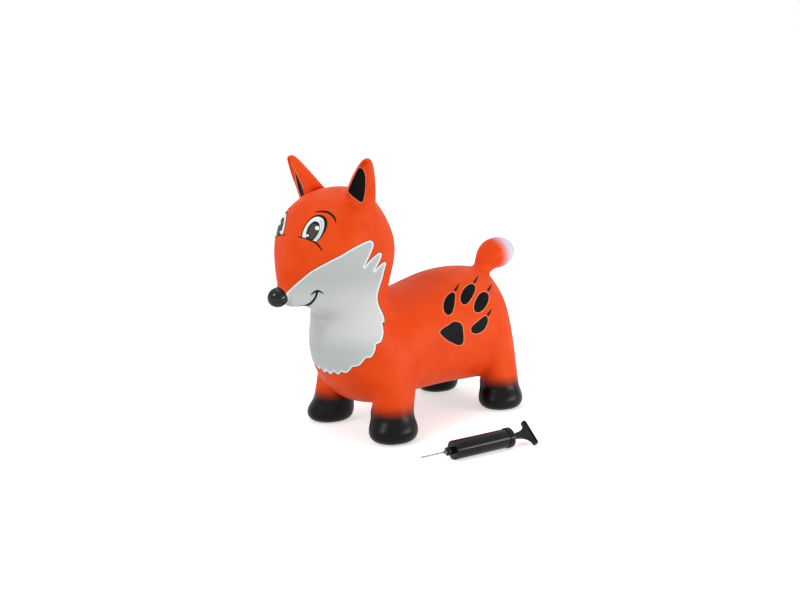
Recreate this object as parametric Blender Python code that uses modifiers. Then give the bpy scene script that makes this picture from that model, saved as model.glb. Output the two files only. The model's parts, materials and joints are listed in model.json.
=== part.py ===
"""Inflatable fox for a small child to bounce on, with the hand pump that blows it up.

The fox is one hollow rotomoulded skin of soft vinyl. Its outside is a coarse half cage, mirrored
and subdivided: rings run from the rump along the back, fan round the throat and end in the nose
ball, and the legs, the tail and the ears grow out of openings in that tube. The pump is a set of
turned and moulded pieces on one axis, lying on the floor at the fox's left side.

Lengths are in metres and angles in radians. The fox faces -Y and its left side is +X.
"""
import math

import bmesh
import bpy
from mathutils import Matrix, Vector

MM = 0.001

# Shared clearances and cuts
SEAT_GAP = 0.3 * MM
CUT_OVERRUN = 2.0 * MM
CUTTER_REACH = 400.0 * MM
MERGE_DISTANCE = 0.01 * MM

# Skin: trunk
TRUNK_HALF_LENGTH = 200.0 * MM
TRUNK_HALF_WIDTH = 105.0 * MM
BACK_HEIGHT = 280.0 * MM
BELLY_HEIGHT = 60.0 * MM
RUMP_POLE_SHARE = 1.0
WALL = 3.0 * MM

# Skin: head
SKULL_Y = -190.0 * MM
SKULL_RISE = 70.0 * MM
SKULL_Z = BACK_HEIGHT + SKULL_RISE
SKULL_RADIUS = 100.0 * MM
SKULL_HALF_WIDTH = 95.0 * MM
NOSE_RADIUS = 17.5 * MM
NOSE_REACH = 140.0 * MM
NOSE_DROP = 77.5 * MM
MUZZLE_DROP = math.radians(20.0)

# Skin: legs
STANCE_HALF_WIDTH = 88.0 * MM
HIP_HALF_WIDTH = 76.0 * MM
FRONT_FEET_Y = -140.0 * MM
REAR_FEET_Y = 156.0 * MM
LEG_RADIUS = 39.0 * MM
HOOF_RADIUS = 41.0 * MM
HOOF_HEIGHT = 52.0 * MM
TOE_LENGTH = 14.0 * MM
SOLE_CUT = 3.0 * MM

# Skin: tail
TAIL_ROOT_BACK_SHARE = 0.92
TAIL_ROOT_DROP = 22.0 * MM
TAIL_LENGTH = 100.0 * MM
TAIL_ROOT_RADIUS = 16.0 * MM
TAIL_BULB_RADIUS = 35.0 * MM

# Skin: ears
EAR_BASE_OUT_SHARE = 0.6316
EAR_BASE_FORWARD_SHARE = 0.07
EAR_BASE_UP_SHARE = 0.78
EAR_LENGTH = 97.0 * MM
EAR_HALF_WIDTH = 25.0 * MM
EAR_HALF_DEPTH = 24.0 * MM
EAR_LEAN_OUT = math.radians(31.0)
EAR_LEAN_FORWARD = math.radians(14.0)
EAR_TURN_OUT = math.radians(24.0)
EAR_HOLLOW_DEPTH = 10.0 * MM
EAR_RIM = 5.0 * MM

# Valve in the belly
VALVE_Y = 10.0 * MM
BELLY_AT_VALVE_SHARE = 0.955
BOSS_RADIUS = 13.0 * MM
BOSS_PROUD = 1.5 * MM
BOSS_LENGTH = 11.0 * MM
VALVE_BORE_RADIUS = 6.0 * MM
SEAT_FLANGE_RADIUS = 10.0 * MM
SEAT_FLANGE_THICKNESS = 1.6 * MM
SEAT_BORE_RADIUS = 4.2 * MM
SEAT_LIP_RADIUS = 2.6 * MM
SEAT_LIP_THICKNESS = 1.4 * MM
SEAT_BARB_RADIUS = 7.6 * MM
SEAT_BARB_LENGTH = 3.5 * MM
CORE_LENGTH = 5.0 * MM
CORE_CHANNEL_RADIUS = 0.7 * MM
PLUG_HEAD_RADIUS = 8.5 * MM
PLUG_HEAD_THICKNESS = 2.4 * MM
PLUG_HEAD_EDGE = 0.8 * MM
PLUG_STEM_LENGTH = 7.0 * MM

# Pump: where it lies
PUMP_TIP_X = 216.0 * MM
PUMP_TIP_Y = -202.8 * MM
PUMP_YAW = math.radians(-12.8)
FLOOR_GAP = 0.2 * MM

# Pump: needle and outlet
NEEDLE_RADIUS = 1.2 * MM
NEEDLE_BORE_RADIUS = 0.6 * MM
NEEDLE_REACH = 44.5 * MM
NEEDLE_ROOT = 4.0 * MM
NEEDLE_PORT_RADIUS = 0.5 * MM
NEEDLE_PORT_SETBACK = 4.0 * MM
HUB_NECK_RADIUS = 2.6 * MM
HUB_NECK_LENGTH = 2.6 * MM
HUB_FLANGE_RADIUS = 4.3 * MM
HUB_FLANGE_THICKNESS = 1.4 * MM
THREAD_RADIUS = 2.4 * MM
THREAD_LENGTH = 5.5 * MM
WASHER_RADIUS = 3.9 * MM
WASHER_THICKNESS = 1.0 * MM
SPIGOT_RADIUS = 5.2 * MM
SPIGOT_LENGTH = 12.1 * MM
NUT_RADIUS = 7.3 * MM
NUT_FLANGE_LENGTH = 3.0 * MM
NUT_BODY_RADIUS = 6.5 * MM
NUT_LENGTH = 11.6 * MM

# Pump: barrel and cap
BARREL_RADIUS = 16.5 * MM
BARREL_WALL = 1.6 * MM
BARREL_LENGTH = 117.5 * MM
BARREL_END_WALL = 3.5 * MM
BARREL_EDGE = 1.6 * MM
CAP_RADIUS = 17.9 * MM
CAP_LENGTH = 10.0 * MM
CAP_FLANGE_LENGTH = 3.4 * MM
CAP_GROOVE = 0.5 * MM
CAP_END_WALL = 3.5 * MM
CAP_EDGE = 1.2 * MM

# Pump: check valve in the outlet
CHECK_FLANGE_RADIUS = 5.0 * MM
CHECK_FLANGE_THICKNESS = 1.4 * MM
CHECK_BEAK_RADIUS = 1.9 * MM
CHECK_BEAK_LENGTH = 2.4 * MM
CHECK_SLIT_RADIUS = 0.6 * MM

# Pump: plunger
ROD_RADIUS = 4.0 * MM
ROD_RUNNING_GAP = 0.4 * MM
ROD_TENON_RADIUS = 2.9 * MM
SCREW_HEAD_RADIUS = 4.5 * MM
SCREW_HEAD_THICKNESS = 2.2 * MM
SCREW_RADIUS = 1.6 * MM
SCREW_LENGTH = 14.0 * MM
PISTON_FRONT_GAP = 1.0 * MM
CUP_BASE = 1.8 * MM
CUP_DEPTH = 4.5 * MM
CUP_WALL = 1.5 * MM
HEAD_THICKNESS = 3.5 * MM

# Pump: handle
HANDLE_SPAN = 49.0 * MM
HANDLE_BAR = 9.0 * MM
HANDLE_THICKNESS = 8.0 * MM
HANDLE_LENGTH = 48.0 * MM
HANDLE_NECK_RADIUS = 4.8 * MM
HANDLE_NECK_LENGTH = 13.0 * MM
HANDLE_SOCKET_DEPTH = 12.0 * MM
HANDLE_EDGE = 1.0 * MM
HANDLE_RECESS_DEPTH = 1.8 * MM
HANDLE_RIM = 2.4 * MM
HANDLE_TURN = math.radians(38.0)

# Faceting
FINE_SEGMENTS = 40
SEGMENTS = 28
SMALL_SEGMENTS = 20
FLARE_STEPS = 8
CORNER_STEPS = 3
SKIN_LEVELS = 2
CAVITY_LEVELS = 1
SKIN_KEPT_SHARE = 0.36
CAVITY_KEPT_SHARE = 0.5

# A subdivided ring of 12 or 8 points shrinks to these shares of its cage, so cages are drawn larger.
RING_12_SHARE = (4.0 + 2.0 * math.cos(math.tau / 12)) / 6.0
RING_8_SHARE = (4.0 + 2.0 * math.cos(math.tau / 8)) / 6.0
RING_6_SHARE = (4.0 + 2.0 * math.cos(math.tau / 6)) / 6.0

# Half widths of a ring's points from top to bottom, as shares of the ring's half width.
ROUND_SHARES = (0.0, 0.50, 0.87, 1.0, 0.87, 0.50, 0.0)
RUMP_SHARES = (0.0, 0.48, 0.81, 0.98, 0.98, 0.62, 0.0)
TRUNK_SHARES = (0.0, 0.54, 0.91, 1.0, 0.95, 0.60, 0.0)
WITHERS_SHARES = (0.0, 0.36, 0.80, 1.0, 0.97, 0.60, 0.0)
SHOULDER_SHARES = (0.0, 0.36, 0.72, 0.98, 1.0, 0.62, 0.0)
CHEST_SHARES = (0.0, 0.42, 0.72, 0.93, 1.0, 0.62, 0.0)
NECK_SHARES = (0.0, 0.62, 0.98, 0.93, 0.93, 0.58, 0.0)
NAPE_SHARES = (0.0, 0.58, 1.0, 0.95, 0.72, 0.42, 0.0)
SKULL_SHARES = (0.0, 0.52, 0.93, 1.0, 0.80, 0.42, 0.0)
FACE_SHARES = (0.0, 0.54, 0.92, 1.0, 0.74, 0.41, 0.0)
BROW_SHARES = (0.0, 0.60, 1.0, 0.95, 0.70, 0.40, 0.0)
MUZZLE_SHARES = (0.0, 0.52, 1.0, 1.0, 0.80, 0.48, 0.0)

# Rings and columns of the tube's points round which the limbs' openings lie
REAR_LEG_RINGS = range(1, 4)
FRONT_LEG_RINGS = range(6, 9)
LEG_COLUMNS = range(3, 6)
TAIL_RINGS = range(0, 3)
TAIL_COLUMNS = range(0, 2)
EAR_RINGS = range(12, 15)
EAR_COLUMNS = range(1, 3)


def back(along_share, up_share):
    """Point of the back's mid-line, in shares of the trunk's half length and the back's height."""
    return Vector((0.0, along_share * TRUNK_HALF_LENGTH, up_share * BACK_HEIGHT))


def belly(along_share, up_share):
    """Point of the belly's mid-line, in shares of the trunk's half length and the belly's height."""
    return Vector((0.0, along_share * TRUNK_HALF_LENGTH, up_share * BELLY_HEIGHT))


def skull(along_share, up_share):
    """Point of the head's mid-line, counted from the skull's centre in shares of its radius."""
    return Vector((0.0, SKULL_Y + along_share * SKULL_RADIUS, SKULL_Z + up_share * SKULL_RADIUS))


def tube_rings():
    """Top point, bottom point, half width and width shares of each ring, from rump to nose."""
    trunk = TRUNK_HALF_WIDTH
    head = SKULL_HALF_WIDTH
    return (
        (back(0.95, 0.86), belly(0.98, 1.90), trunk * 0.55, ROUND_SHARES),
        (back(0.88, 0.935), belly(0.95, 1.30), trunk * 0.83, RUMP_SHARES),
        (back(0.74, 0.988), belly(0.78, 1.03), trunk * 0.97, RUMP_SHARES),
        (back(0.52, 1.006), belly(0.55, 0.94), trunk * 1.00, TRUNK_SHARES),
        (back(0.20, 0.997), belly(0.22, 0.95), trunk * 0.98, TRUNK_SHARES),
        (back(-0.13, 0.928), belly(-0.13, 0.98), trunk * 0.97, TRUNK_SHARES),
        (back(-0.41, 0.905), belly(-0.50, 0.97), trunk * 0.96, TRUNK_SHARES),
        (back(-0.58, 0.915), belly(-0.70, 0.88), trunk * 0.94, WITHERS_SHARES),
        (skull(0.66, -0.68), belly(-0.90, 1.03), trunk * 0.91, SHOULDER_SHARES),
        (skull(0.73, -0.46), belly(-1.09, 1.75), head * 0.93, CHEST_SHARES),
        (skull(0.90, -0.10), belly(-1.21, 2.75), head * 0.78, NECK_SHARES),
        (skull(0.90, 0.35), skull(-0.53, -1.32), head * 0.93, NAPE_SHARES),
        (skull(0.44, 0.98), skull(-0.66, -1.10), head * 1.01, SKULL_SHARES),
        (skull(0.00, 1.04), skull(-0.80, -1.01), head * 1.00, SKULL_SHARES),
        (skull(-0.44, 0.98), skull(-0.93, -0.99), head * 0.92, FACE_SHARES),
        (skull(-0.86, 0.76), skull(-1.03, -0.98), head * 0.74, BROW_SHARES),
        (skull(-1.06, 0.35), skull(-1.13, -0.97), head * 0.49, MUZZLE_SHARES),
        (skull(-1.20, -0.15), skull(-1.22, -0.94), head * 0.27, MUZZLE_SHARES),
    )


def half_ring(top, bottom, half_width, shares):
    """Half of a closed ring: points from the top round the left side to the bottom."""
    centre = (top + bottom) / 2.0
    count = len(shares) - 1
    points = []
    for index, share in enumerate(shares):
        down_share = (1.0 - math.cos(math.pi * index / count)) / 2.0
        point = top.lerp(bottom, down_share)
        point.x = half_width * share
        points.append(centre + (point - centre) / RING_12_SHARE)
    return points


def bridge(cage, first, second, closed):
    """Quads between two rows of as many vertices."""
    count = len(first)
    for index in range(count if closed else count - 1):
        after = (index + 1) % count
        cage.faces.new((first[index], first[after], second[after], second[index]))


def close_half_disc(cage, ring, pole):
    """Three quads from a seven-point half ring to the pole on the mid-plane."""
    for first, second, third in ((0, 1, 2), (2, 3, 4), (4, 5, 6)):
        cage.faces.new((ring[first], ring[second], ring[third], pole))


def grow(cage, start, rings, closed):
    """Carries a limb on from its opening through rings of points, and returns its rows of vertices."""
    rows = [start]
    for points in rings:
        row = [cage.verts.new(point) for point in points]
        bridge(cage, rows[-1], row, closed)
        rows.append(row)
    return rows


def opening_edge(rows, ring_numbers, columns):
    """Vertices round a rectangular opening in the tube, from its rear upper corner forwards."""
    rear, front = ring_numbers[0], ring_numbers[-1]
    upper, lower = columns[0], columns[-1]
    edge = [rows[number][upper] for number in ring_numbers]
    edge += [rows[front][column] for column in columns[1:]]
    edge += [rows[number][lower] for number in reversed(ring_numbers[:-1])]
    edge += [rows[rear][column] for column in reversed(columns[1:-1])]
    return edge


def leg_rings(centre_y, sole_height):
    """Rings of a leg and its hoof, from the crotch down to the sole."""
    splay = STANCE_HALF_WIDTH - HIP_HALF_WIDTH
    # Height, radius, share of the splay and share of the toe
    rows = (
        (1.04 * HOOF_HEIGHT, 1.00 * LEG_RADIUS, 0.15, 0.0),
        (0.78 * HOOF_HEIGHT, 0.98 * LEG_RADIUS, 0.55, 0.2),
        (0.48 * HOOF_HEIGHT, 1.02 * HOOF_RADIUS, 0.95, 0.9),
        (0.20 * HOOF_HEIGHT, 1.00 * HOOF_RADIUS, 1.0, 1.0),
        (sole_height, 0.72 * HOOF_RADIUS, 1.0, 0.6),
    )
    rings = []
    for height, radius, splay_share, toe_share in rows:
        points = []
        for index in range(8):
            angle = math.radians(45.0) * (1 - index)
            reach = radius / RING_8_SHARE
            x = HIP_HALF_WIDTH + splay * splay_share + reach * math.cos(angle)
            y = centre_y + reach * math.sin(angle)
            y += toe_share * TOE_LENGTH * min(0.0, math.sin(angle))
            points.append(Vector((x, y, height)))
        rings.append(points)
    return rings


def add_leg(cage, rows, ring_numbers, centre_y, sole_height):
    """One left leg, closed under its sole."""
    edge = opening_edge(rows, ring_numbers, LEG_COLUMNS)
    last = grow(cage, edge, leg_rings(centre_y, sole_height), True)[-1]
    cage.faces.new(last)


def tail_point(back_share, up_share):
    """Point of the tail's mid-line, counted from its root in shares of its length."""
    root_y = TAIL_ROOT_BACK_SHARE * TRUNK_HALF_LENGTH
    root_z = BACK_HEIGHT - TAIL_ROOT_DROP
    return Vector((0.0, root_y + back_share * TAIL_LENGTH, root_z + up_share * TAIL_LENGTH))


def add_tail(cage, rows):
    """Egg-shaped tail on a narrow root at the rump's upper edge: half rings, open on the mid-plane."""
    upper, side = TAIL_COLUMNS
    rear, middle, front = TAIL_RINGS
    edge = [rows[front][upper], rows[front][side], rows[middle][side], rows[rear][side], rows[rear][upper]]
    # Ways back and up from the root as shares of the length, tilt of the ring in degrees and radius
    ring_rows = (
        (0.00, 0.00, 48.0, 1.30 * TAIL_ROOT_RADIUS),
        (0.07, 0.10, 50.0, 1.08 * TAIL_ROOT_RADIUS),
        (0.22, 0.24, 38.0, 0.80 * TAIL_BULB_RADIUS),
        (0.46, 0.33, 14.0, 1.04 * TAIL_BULB_RADIUS),
        (0.74, 0.34, -4.0, 0.88 * TAIL_BULB_RADIUS),
        (0.93, 0.31, -10.0, 0.48 * TAIL_BULB_RADIUS),
    )
    rings = []
    for back_share, up_share, tilt, radius in ring_rows:
        centre = tail_point(back_share, up_share)
        up = Vector((0.0, -math.sin(math.radians(tilt)), math.cos(math.radians(tilt))))
        reach = radius / RING_8_SHARE
        points = []
        for index in range(5):
            angle = math.pi * index / 4
            point = centre + up * (reach * math.cos(angle))
            point.x = 0.0 if index in (0, 4) else reach * math.sin(angle)
            points.append(point)
        rings.append(points)
    last = grow(cage, edge, rings, False)[-1]
    tip = cage.verts.new(tail_point(1.0, 0.30))
    cage.faces.new((last[0], last[1], last[2], tip))
    cage.faces.new((tip, last[2], last[3], last[4]))


def ear_frame():
    """Base point and the along, outward and rearward directions of the left ear."""
    base = skull(-EAR_BASE_FORWARD_SHARE, EAR_BASE_UP_SHARE)
    base.x = EAR_BASE_OUT_SHARE * SKULL_HALF_WIDTH
    along = Vector((math.sin(EAR_LEAN_OUT), -math.sin(EAR_LEAN_FORWARD), math.cos(EAR_LEAN_OUT)))
    along.normalize()
    facing = Vector((math.sin(EAR_TURN_OUT), -math.cos(EAR_TURN_OUT), 0.0))
    rearward = -(facing - along * facing.dot(along)).normalized()
    outward = rearward.cross(along)
    return base, along, outward, rearward


def add_ear(cage, rows):
    """Pointed left ear whose front is a rimmed hollow."""
    edge = opening_edge(rows, EAR_RINGS, EAR_COLUMNS)
    base, along, outward, rearward = ear_frame()
    # Place along the ear, half width and half depth
    row_shares = (
        (0.08, 1.02, 1.02),
        (0.24, 0.96, 0.86),
        (0.48, 0.80, 0.66),
        (0.72, 0.54, 0.46),
        (0.92, 0.26, 0.26),
    )
    # Rear inner, inner, front inner, front outer, outer and rear outer corners, as the opening runs
    corner_turns = (120.0, 180.0, 240.0, 300.0, 0.0, 60.0)
    rings = []
    for share, width_share, depth_share in row_shares:
        centre = base + along * (share * EAR_LENGTH)
        points = []
        for turn in corner_turns:
            sideways = outward * (math.cos(math.radians(turn)) * width_share * EAR_HALF_WIDTH)
            depthways = rearward * (math.sin(math.radians(turn)) * depth_share * EAR_HALF_DEPTH)
            points.append(centre + (sideways + depthways) / RING_6_SHARE)
        rings.append(points)
    ear_rows = grow(cage, edge, rings, True)
    last = ear_rows[-1]
    cage.faces.new((last[0], last[1], last[4], last[5]))
    cage.faces.new((last[1], last[2], last[3], last[4]))
    for vertex in (last[1], last[4]):
        vertex.co += along * (0.06 * EAR_LENGTH)
    front_corners = slice(2, 4)
    panel = []
    for lower, upper in zip(ear_rows[1:], ear_rows[2:]):
        corners = set(lower[front_corners] + upper[front_corners])
        panel += [face for face in lower[front_corners][0].link_faces if corners == set(face.verts)]
    bmesh.ops.inset_region(cage, faces=panel, thickness=EAR_RIM, use_even_offset=True)
    inner = {vertex for face in panel for vertex in face.verts}
    for vertex in inner:
        vertex.co += rearward * EAR_HOLLOW_DEPTH


def fox_cage(name, with_ears, sole_height):
    """Half cage of the fox, open on the mid-plane, as a mesh."""
    cage = bmesh.new()
    rows = [[cage.verts.new(point) for point in half_ring(*ring)] for ring in tube_rings()]
    nose_rows = [[cage.verts.new(point) for point in points] for points in nose_rings()]
    rows += nose_rows
    skipped = {(ring, column) for ring in TAIL_RINGS[:-1] for column in TAIL_COLUMNS[:-1]}
    for leg in (REAR_LEG_RINGS, FRONT_LEG_RINGS):
        skipped |= {(ring, column) for ring in leg[:-1] for column in LEG_COLUMNS[:-1]}
    if with_ears:
        skipped |= {(ring, column) for ring in EAR_RINGS[:-1] for column in EAR_COLUMNS[:-1]}
    for ring in range(len(rows) - 1):
        for column in range(len(rows[ring]) - 1):
            if (ring, column) in skipped:
                continue
            first, second = rows[ring], rows[ring + 1]
            cage.faces.new((first[column], first[column + 1], second[column + 1], second[column]))
    rump = cage.verts.new(back(RUMP_POLE_SHARE, 0.63))
    close_half_disc(cage, rows[0], rump)
    nose_tip = cage.verts.new(nose_centre() + nose_direction() * (1.04 * NOSE_RADIUS))
    close_half_disc(cage, rows[-1], nose_tip)
    add_leg(cage, rows, REAR_LEG_RINGS, REAR_FEET_Y, sole_height)
    add_leg(cage, rows, FRONT_LEG_RINGS, FRONT_FEET_Y, sole_height)
    add_tail(cage, rows)
    if with_ears:
        add_ear(cage, rows)
    loose = [vertex for vertex in cage.verts if not vertex.link_faces]
    bmesh.ops.delete(cage, geom=loose, context="VERTS")
    bmesh.ops.recalc_face_normals(cage, faces=cage.faces)
    mesh = bpy.data.meshes.new(name)
    cage.to_mesh(mesh)
    cage.free()
    return mesh


def nose_direction():
    """The way the muzzle points, forwards and a little down."""
    return Vector((0.0, -math.cos(MUZZLE_DROP), -math.sin(MUZZLE_DROP)))


def nose_centre():
    """Centre of the nose ball."""
    return Vector((0.0, SKULL_Y - NOSE_REACH, SKULL_Z - NOSE_DROP))


def nose_rings():
    """Half rings of the nose ball, from its narrow root forwards."""
    along = nose_direction()
    up = Vector((0.0, along.z, -along.y))
    # Place along the ball's axis from its centre and radius, in shares of the ball's radius
    row_shares = ((-0.82, 0.78), (-0.28, 1.00), (0.35, 0.97), (0.86, 0.52))
    rings = []
    for place, radius in row_shares:
        centre = nose_centre() + along * (place * NOSE_RADIUS)
        reach = up * (radius * NOSE_RADIUS)
        rings.append(half_ring(centre + reach, centre - reach, reach.length, ROUND_SHARES))
    return rings


def new_material(name, colour, roughness, metallic=0.0):
    """Principled material with one sRGB colour."""
    material = bpy.data.materials.new(name)
    material.use_nodes = True
    shader = material.node_tree.nodes["Principled BSDF"]
    linear = [((c + 0.055) / 1.055) ** 2.4 if c > 0.04045 else c / 12.92 for c in colour]
    shader.inputs["Base Color"].default_value = (*linear, 1.0)
    shader.inputs["Roughness"].default_value = roughness
    shader.inputs["Metallic"].default_value = metallic
    material.diffuse_color = (*linear, 1.0)
    return material


def new_collection(name):
    """Collection in the scene."""
    collection = bpy.data.collections.new(name)
    bpy.context.scene.collection.children.link(collection)
    return collection


def place(mesh, name, collection, parent, material=None):
    """Object in a collection, hung from a parent without moving it in the parent's frame."""
    piece = bpy.data.objects.new(name, mesh)
    collection.objects.link(piece)
    piece.parent = parent
    if material is not None:
        mesh.materials.append(material)
    return piece


def new_frame(name, collection, parent, location=(0.0, 0.0, 0.0), rotation=(0.0, 0.0, 0.0)):
    """Empty that carries pieces."""
    frame = bpy.data.objects.new(name, None)
    frame.empty_display_size = NOSE_RADIUS
    frame.location = location
    frame.rotation_euler = rotation
    collection.objects.link(frame)
    frame.parent = parent
    return frame


def as_cutter(piece):
    """Marks a piece as a cutter or guide."""
    piece.hide_render = True
    piece.display_type = "WIRE"
    return piece


def subdivide(piece, levels):
    """Mirrors a half cage and subdivides it."""
    mirror = piece.modifiers.new("other_half", "MIRROR")
    mirror.use_clip = True
    mirror.merge_threshold = MERGE_DISTANCE
    smooth = piece.modifiers.new("smooth_form", "SUBSURF")
    smooth.levels = levels
    smooth.render_levels = levels


def thin(piece, kept_share):
    """Thins the flat stretches of a subdivided form."""
    decimate = piece.modifiers.new("fewer_facets", "DECIMATE")
    decimate.ratio = kept_share
    decimate.use_symmetry = True
    decimate.symmetry_axis = "X"


def combine(piece, other, operation):
    """Boolean with another object."""
    step = piece.modifiers.new(f"{operation.lower()}_{other.name}", "BOOLEAN")
    step.operation = operation
    step.solver = "EXACT"
    step.object = other


def turned(name, profile, segments, collection, parent, material=None):
    """Turned solid about its own Z axis.

    The profile is a list of (radius, height) points that runs down the outer side. It starts and
    ends on the axis, or goes back up the bore and closes on itself.
    """
    mesh = bpy.data.meshes.new(name)
    points = [(radius, 0.0, height) for radius, height in profile]
    edges = [(index, index + 1) for index in range(len(points) - 1)]
    on_axis = profile[0][0] == 0.0 and profile[-1][0] == 0.0
    if not on_axis:
        edges.append((len(points) - 1, 0))
    mesh.from_pydata(points, edges, [])
    piece = place(mesh, name, collection, parent, material)
    screw = piece.modifiers.new("turn", "SCREW")
    screw.axis = "Z"
    screw.angle = math.tau
    screw.steps = segments
    screw.render_steps = segments
    screw.use_merge_vertices = True
    screw.merge_threshold = MERGE_DISTANCE
    screw.use_smooth_shade = False
    return piece


def block(name, low, high, collection, parent):
    """Box between two corners."""
    shape = bmesh.new()
    bmesh.ops.create_cube(shape, size=1.0)
    size = Vector(high) - Vector(low)
    bmesh.ops.scale(shape, vec=size, verts=shape.verts)
    bmesh.ops.translate(shape, vec=Vector(low) + size / 2.0, verts=shape.verts)
    mesh = bpy.data.meshes.new(name)
    shape.to_mesh(mesh)
    shape.free()
    return place(mesh, name, collection, parent)


def rod_profile(radius, low, high):
    """Profile of a plain round bar."""
    return ((0.0, high), (radius, high), (radius, low), (0.0, low))


def valve_face():
    """Height of the valve boss's flat outer face."""
    return BELLY_AT_VALVE_SHARE * BELLY_HEIGHT - BOSS_PROUD


def build_skin(parts, cutters, root, vinyl):
    """Hollow skin, with flat soles and a bored boss for the valve."""
    skin = place(fox_cage("skin", True, -SOLE_CUT), "skin", parts, root, vinyl)
    subdivide(skin, SKIN_LEVELS)
    thin(skin, SKIN_KEPT_SHARE)

    cavity = as_cutter(place(fox_cage("cavity", False, WALL), "cavity", cutters, root))
    subdivide(cavity, CAVITY_LEVELS)
    inset = cavity.modifiers.new("wall", "DISPLACE")
    inset.direction = "NORMAL"
    inset.mid_level = 0.0
    inset.strength = -WALL
    thin(cavity, CAVITY_KEPT_SHARE)

    floor = as_cutter(block("floor", (-CUTTER_REACH, -CUTTER_REACH, -CUTTER_REACH),
                            (CUTTER_REACH, CUTTER_REACH, 0.0), cutters, root))

    face = valve_face()
    at_valve = new_frame("valve_frame", cutters, root, (0.0, VALVE_Y, face))
    boss_profile = rod_profile(BOSS_RADIUS, 0.0, BOSS_LENGTH)
    boss = as_cutter(turned("boss", boss_profile, SEGMENTS, cutters, at_valve))
    bore_profile = rod_profile(VALVE_BORE_RADIUS, -CUT_OVERRUN, BOSS_LENGTH + CUT_OVERRUN)
    bore = as_cutter(turned("bore", bore_profile, SEGMENTS, cutters, at_valve))

    combine(skin, floor, "DIFFERENCE")
    combine(skin, cavity, "DIFFERENCE")
    combine(skin, boss, "UNION")
    combine(skin, bore, "DIFFERENCE")


def build_valve(parts, root, soft, rubber):
    """Grommet, self-sealing core and stopper on one upright axis in the belly's boss."""
    at_valve = new_frame("valve_axis", parts, root, (0.0, VALVE_Y, valve_face()))
    flange_top = -SEAT_GAP
    flange_bottom = flange_top - SEAT_FLANGE_THICKNESS
    tube_radius = VALVE_BORE_RADIUS - SEAT_GAP
    barb_bottom = BOSS_LENGTH + SEAT_GAP
    barb_top = barb_bottom + SEAT_BARB_LENGTH
    lip_bottom = barb_top - SEAT_LIP_THICKNESS
    turned("valve_seat", (
        (SEAT_LIP_RADIUS, barb_top), (tube_radius, barb_top), (SEAT_BARB_RADIUS, barb_bottom),
        (tube_radius, barb_bottom), (tube_radius, flange_top), (SEAT_FLANGE_RADIUS, flange_top),
        (SEAT_FLANGE_RADIUS, flange_bottom), (SEAT_BORE_RADIUS, flange_bottom),
        (SEAT_BORE_RADIUS, lip_bottom), (SEAT_LIP_RADIUS, lip_bottom),
    ), SEGMENTS, parts, at_valve, soft)

    core_top = lip_bottom - SEAT_GAP
    core_bottom = core_top - CORE_LENGTH
    core_radius = SEAT_BORE_RADIUS - SEAT_GAP
    dimple = CORE_LENGTH / 4.0
    turned("valve_core", (
        (CORE_CHANNEL_RADIUS, core_top), (core_radius, core_top), (core_radius, core_bottom),
        (SEAT_LIP_RADIUS, core_bottom), (CORE_CHANNEL_RADIUS, core_bottom + dimple),
    ), SMALL_SEGMENTS, parts, at_valve, rubber)

    plug_axis = new_frame("valve_plug_axis", parts, at_valve)
    head_top = flange_bottom - SEAT_GAP
    head_bottom = head_top - PLUG_HEAD_THICKNESS
    stem_radius = SEAT_BORE_RADIUS - SEAT_GAP
    stem_top = min(head_top + PLUG_STEM_LENGTH, core_bottom - SEAT_GAP)
    turned("valve_plug", (
        (0.0, stem_top), (stem_radius - PLUG_HEAD_EDGE, stem_top), (stem_radius, stem_top - PLUG_HEAD_EDGE),
        (stem_radius, head_top), (PLUG_HEAD_RADIUS - PLUG_HEAD_EDGE, head_top),
        (PLUG_HEAD_RADIUS, head_top - PLUG_HEAD_EDGE), (PLUG_HEAD_RADIUS, head_bottom + PLUG_HEAD_EDGE),
        (PLUG_HEAD_RADIUS - PLUG_HEAD_EDGE, head_bottom), (0.0, head_bottom),
    ), SEGMENTS, parts, plug_axis, soft)


def barrel_front():
    """Place of the barrel's front end along the pump, counted from the needle's tip."""
    hub = NEEDLE_REACH + HUB_NECK_LENGTH + HUB_FLANGE_THICKNESS
    return hub + WASHER_THICKNESS + 2.0 * SEAT_GAP + SPIGOT_LENGTH


def barrel_rear():
    """Place of the barrel's open rear end along the pump."""
    return barrel_front() + BARREL_LENGTH


def pump_slope():
    """Angle at which the barrel leans forwards, because the cap is wider than the barrel."""
    return math.asin((CAP_RADIUS - BARREL_RADIUS) / (barrel_rear() - barrel_front()))


def pump_axis_frame(parts, root):
    """Empty at the needle's tip, with Z along the pump towards the handle and Y downwards."""
    slope = pump_slope()
    height = BARREL_RADIUS / math.cos(slope) - barrel_front() * math.sin(slope) + FLOOR_GAP
    location = (PUMP_TIP_X, PUMP_TIP_Y, height)
    return new_frame("pump_axis", parts, root, location, (slope - math.pi / 2.0, 0.0, PUMP_YAW))


def flipped(profile):
    """Profile written from the needle towards the handle, turned to run down its outer side."""
    return tuple(reversed(profile))


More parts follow.
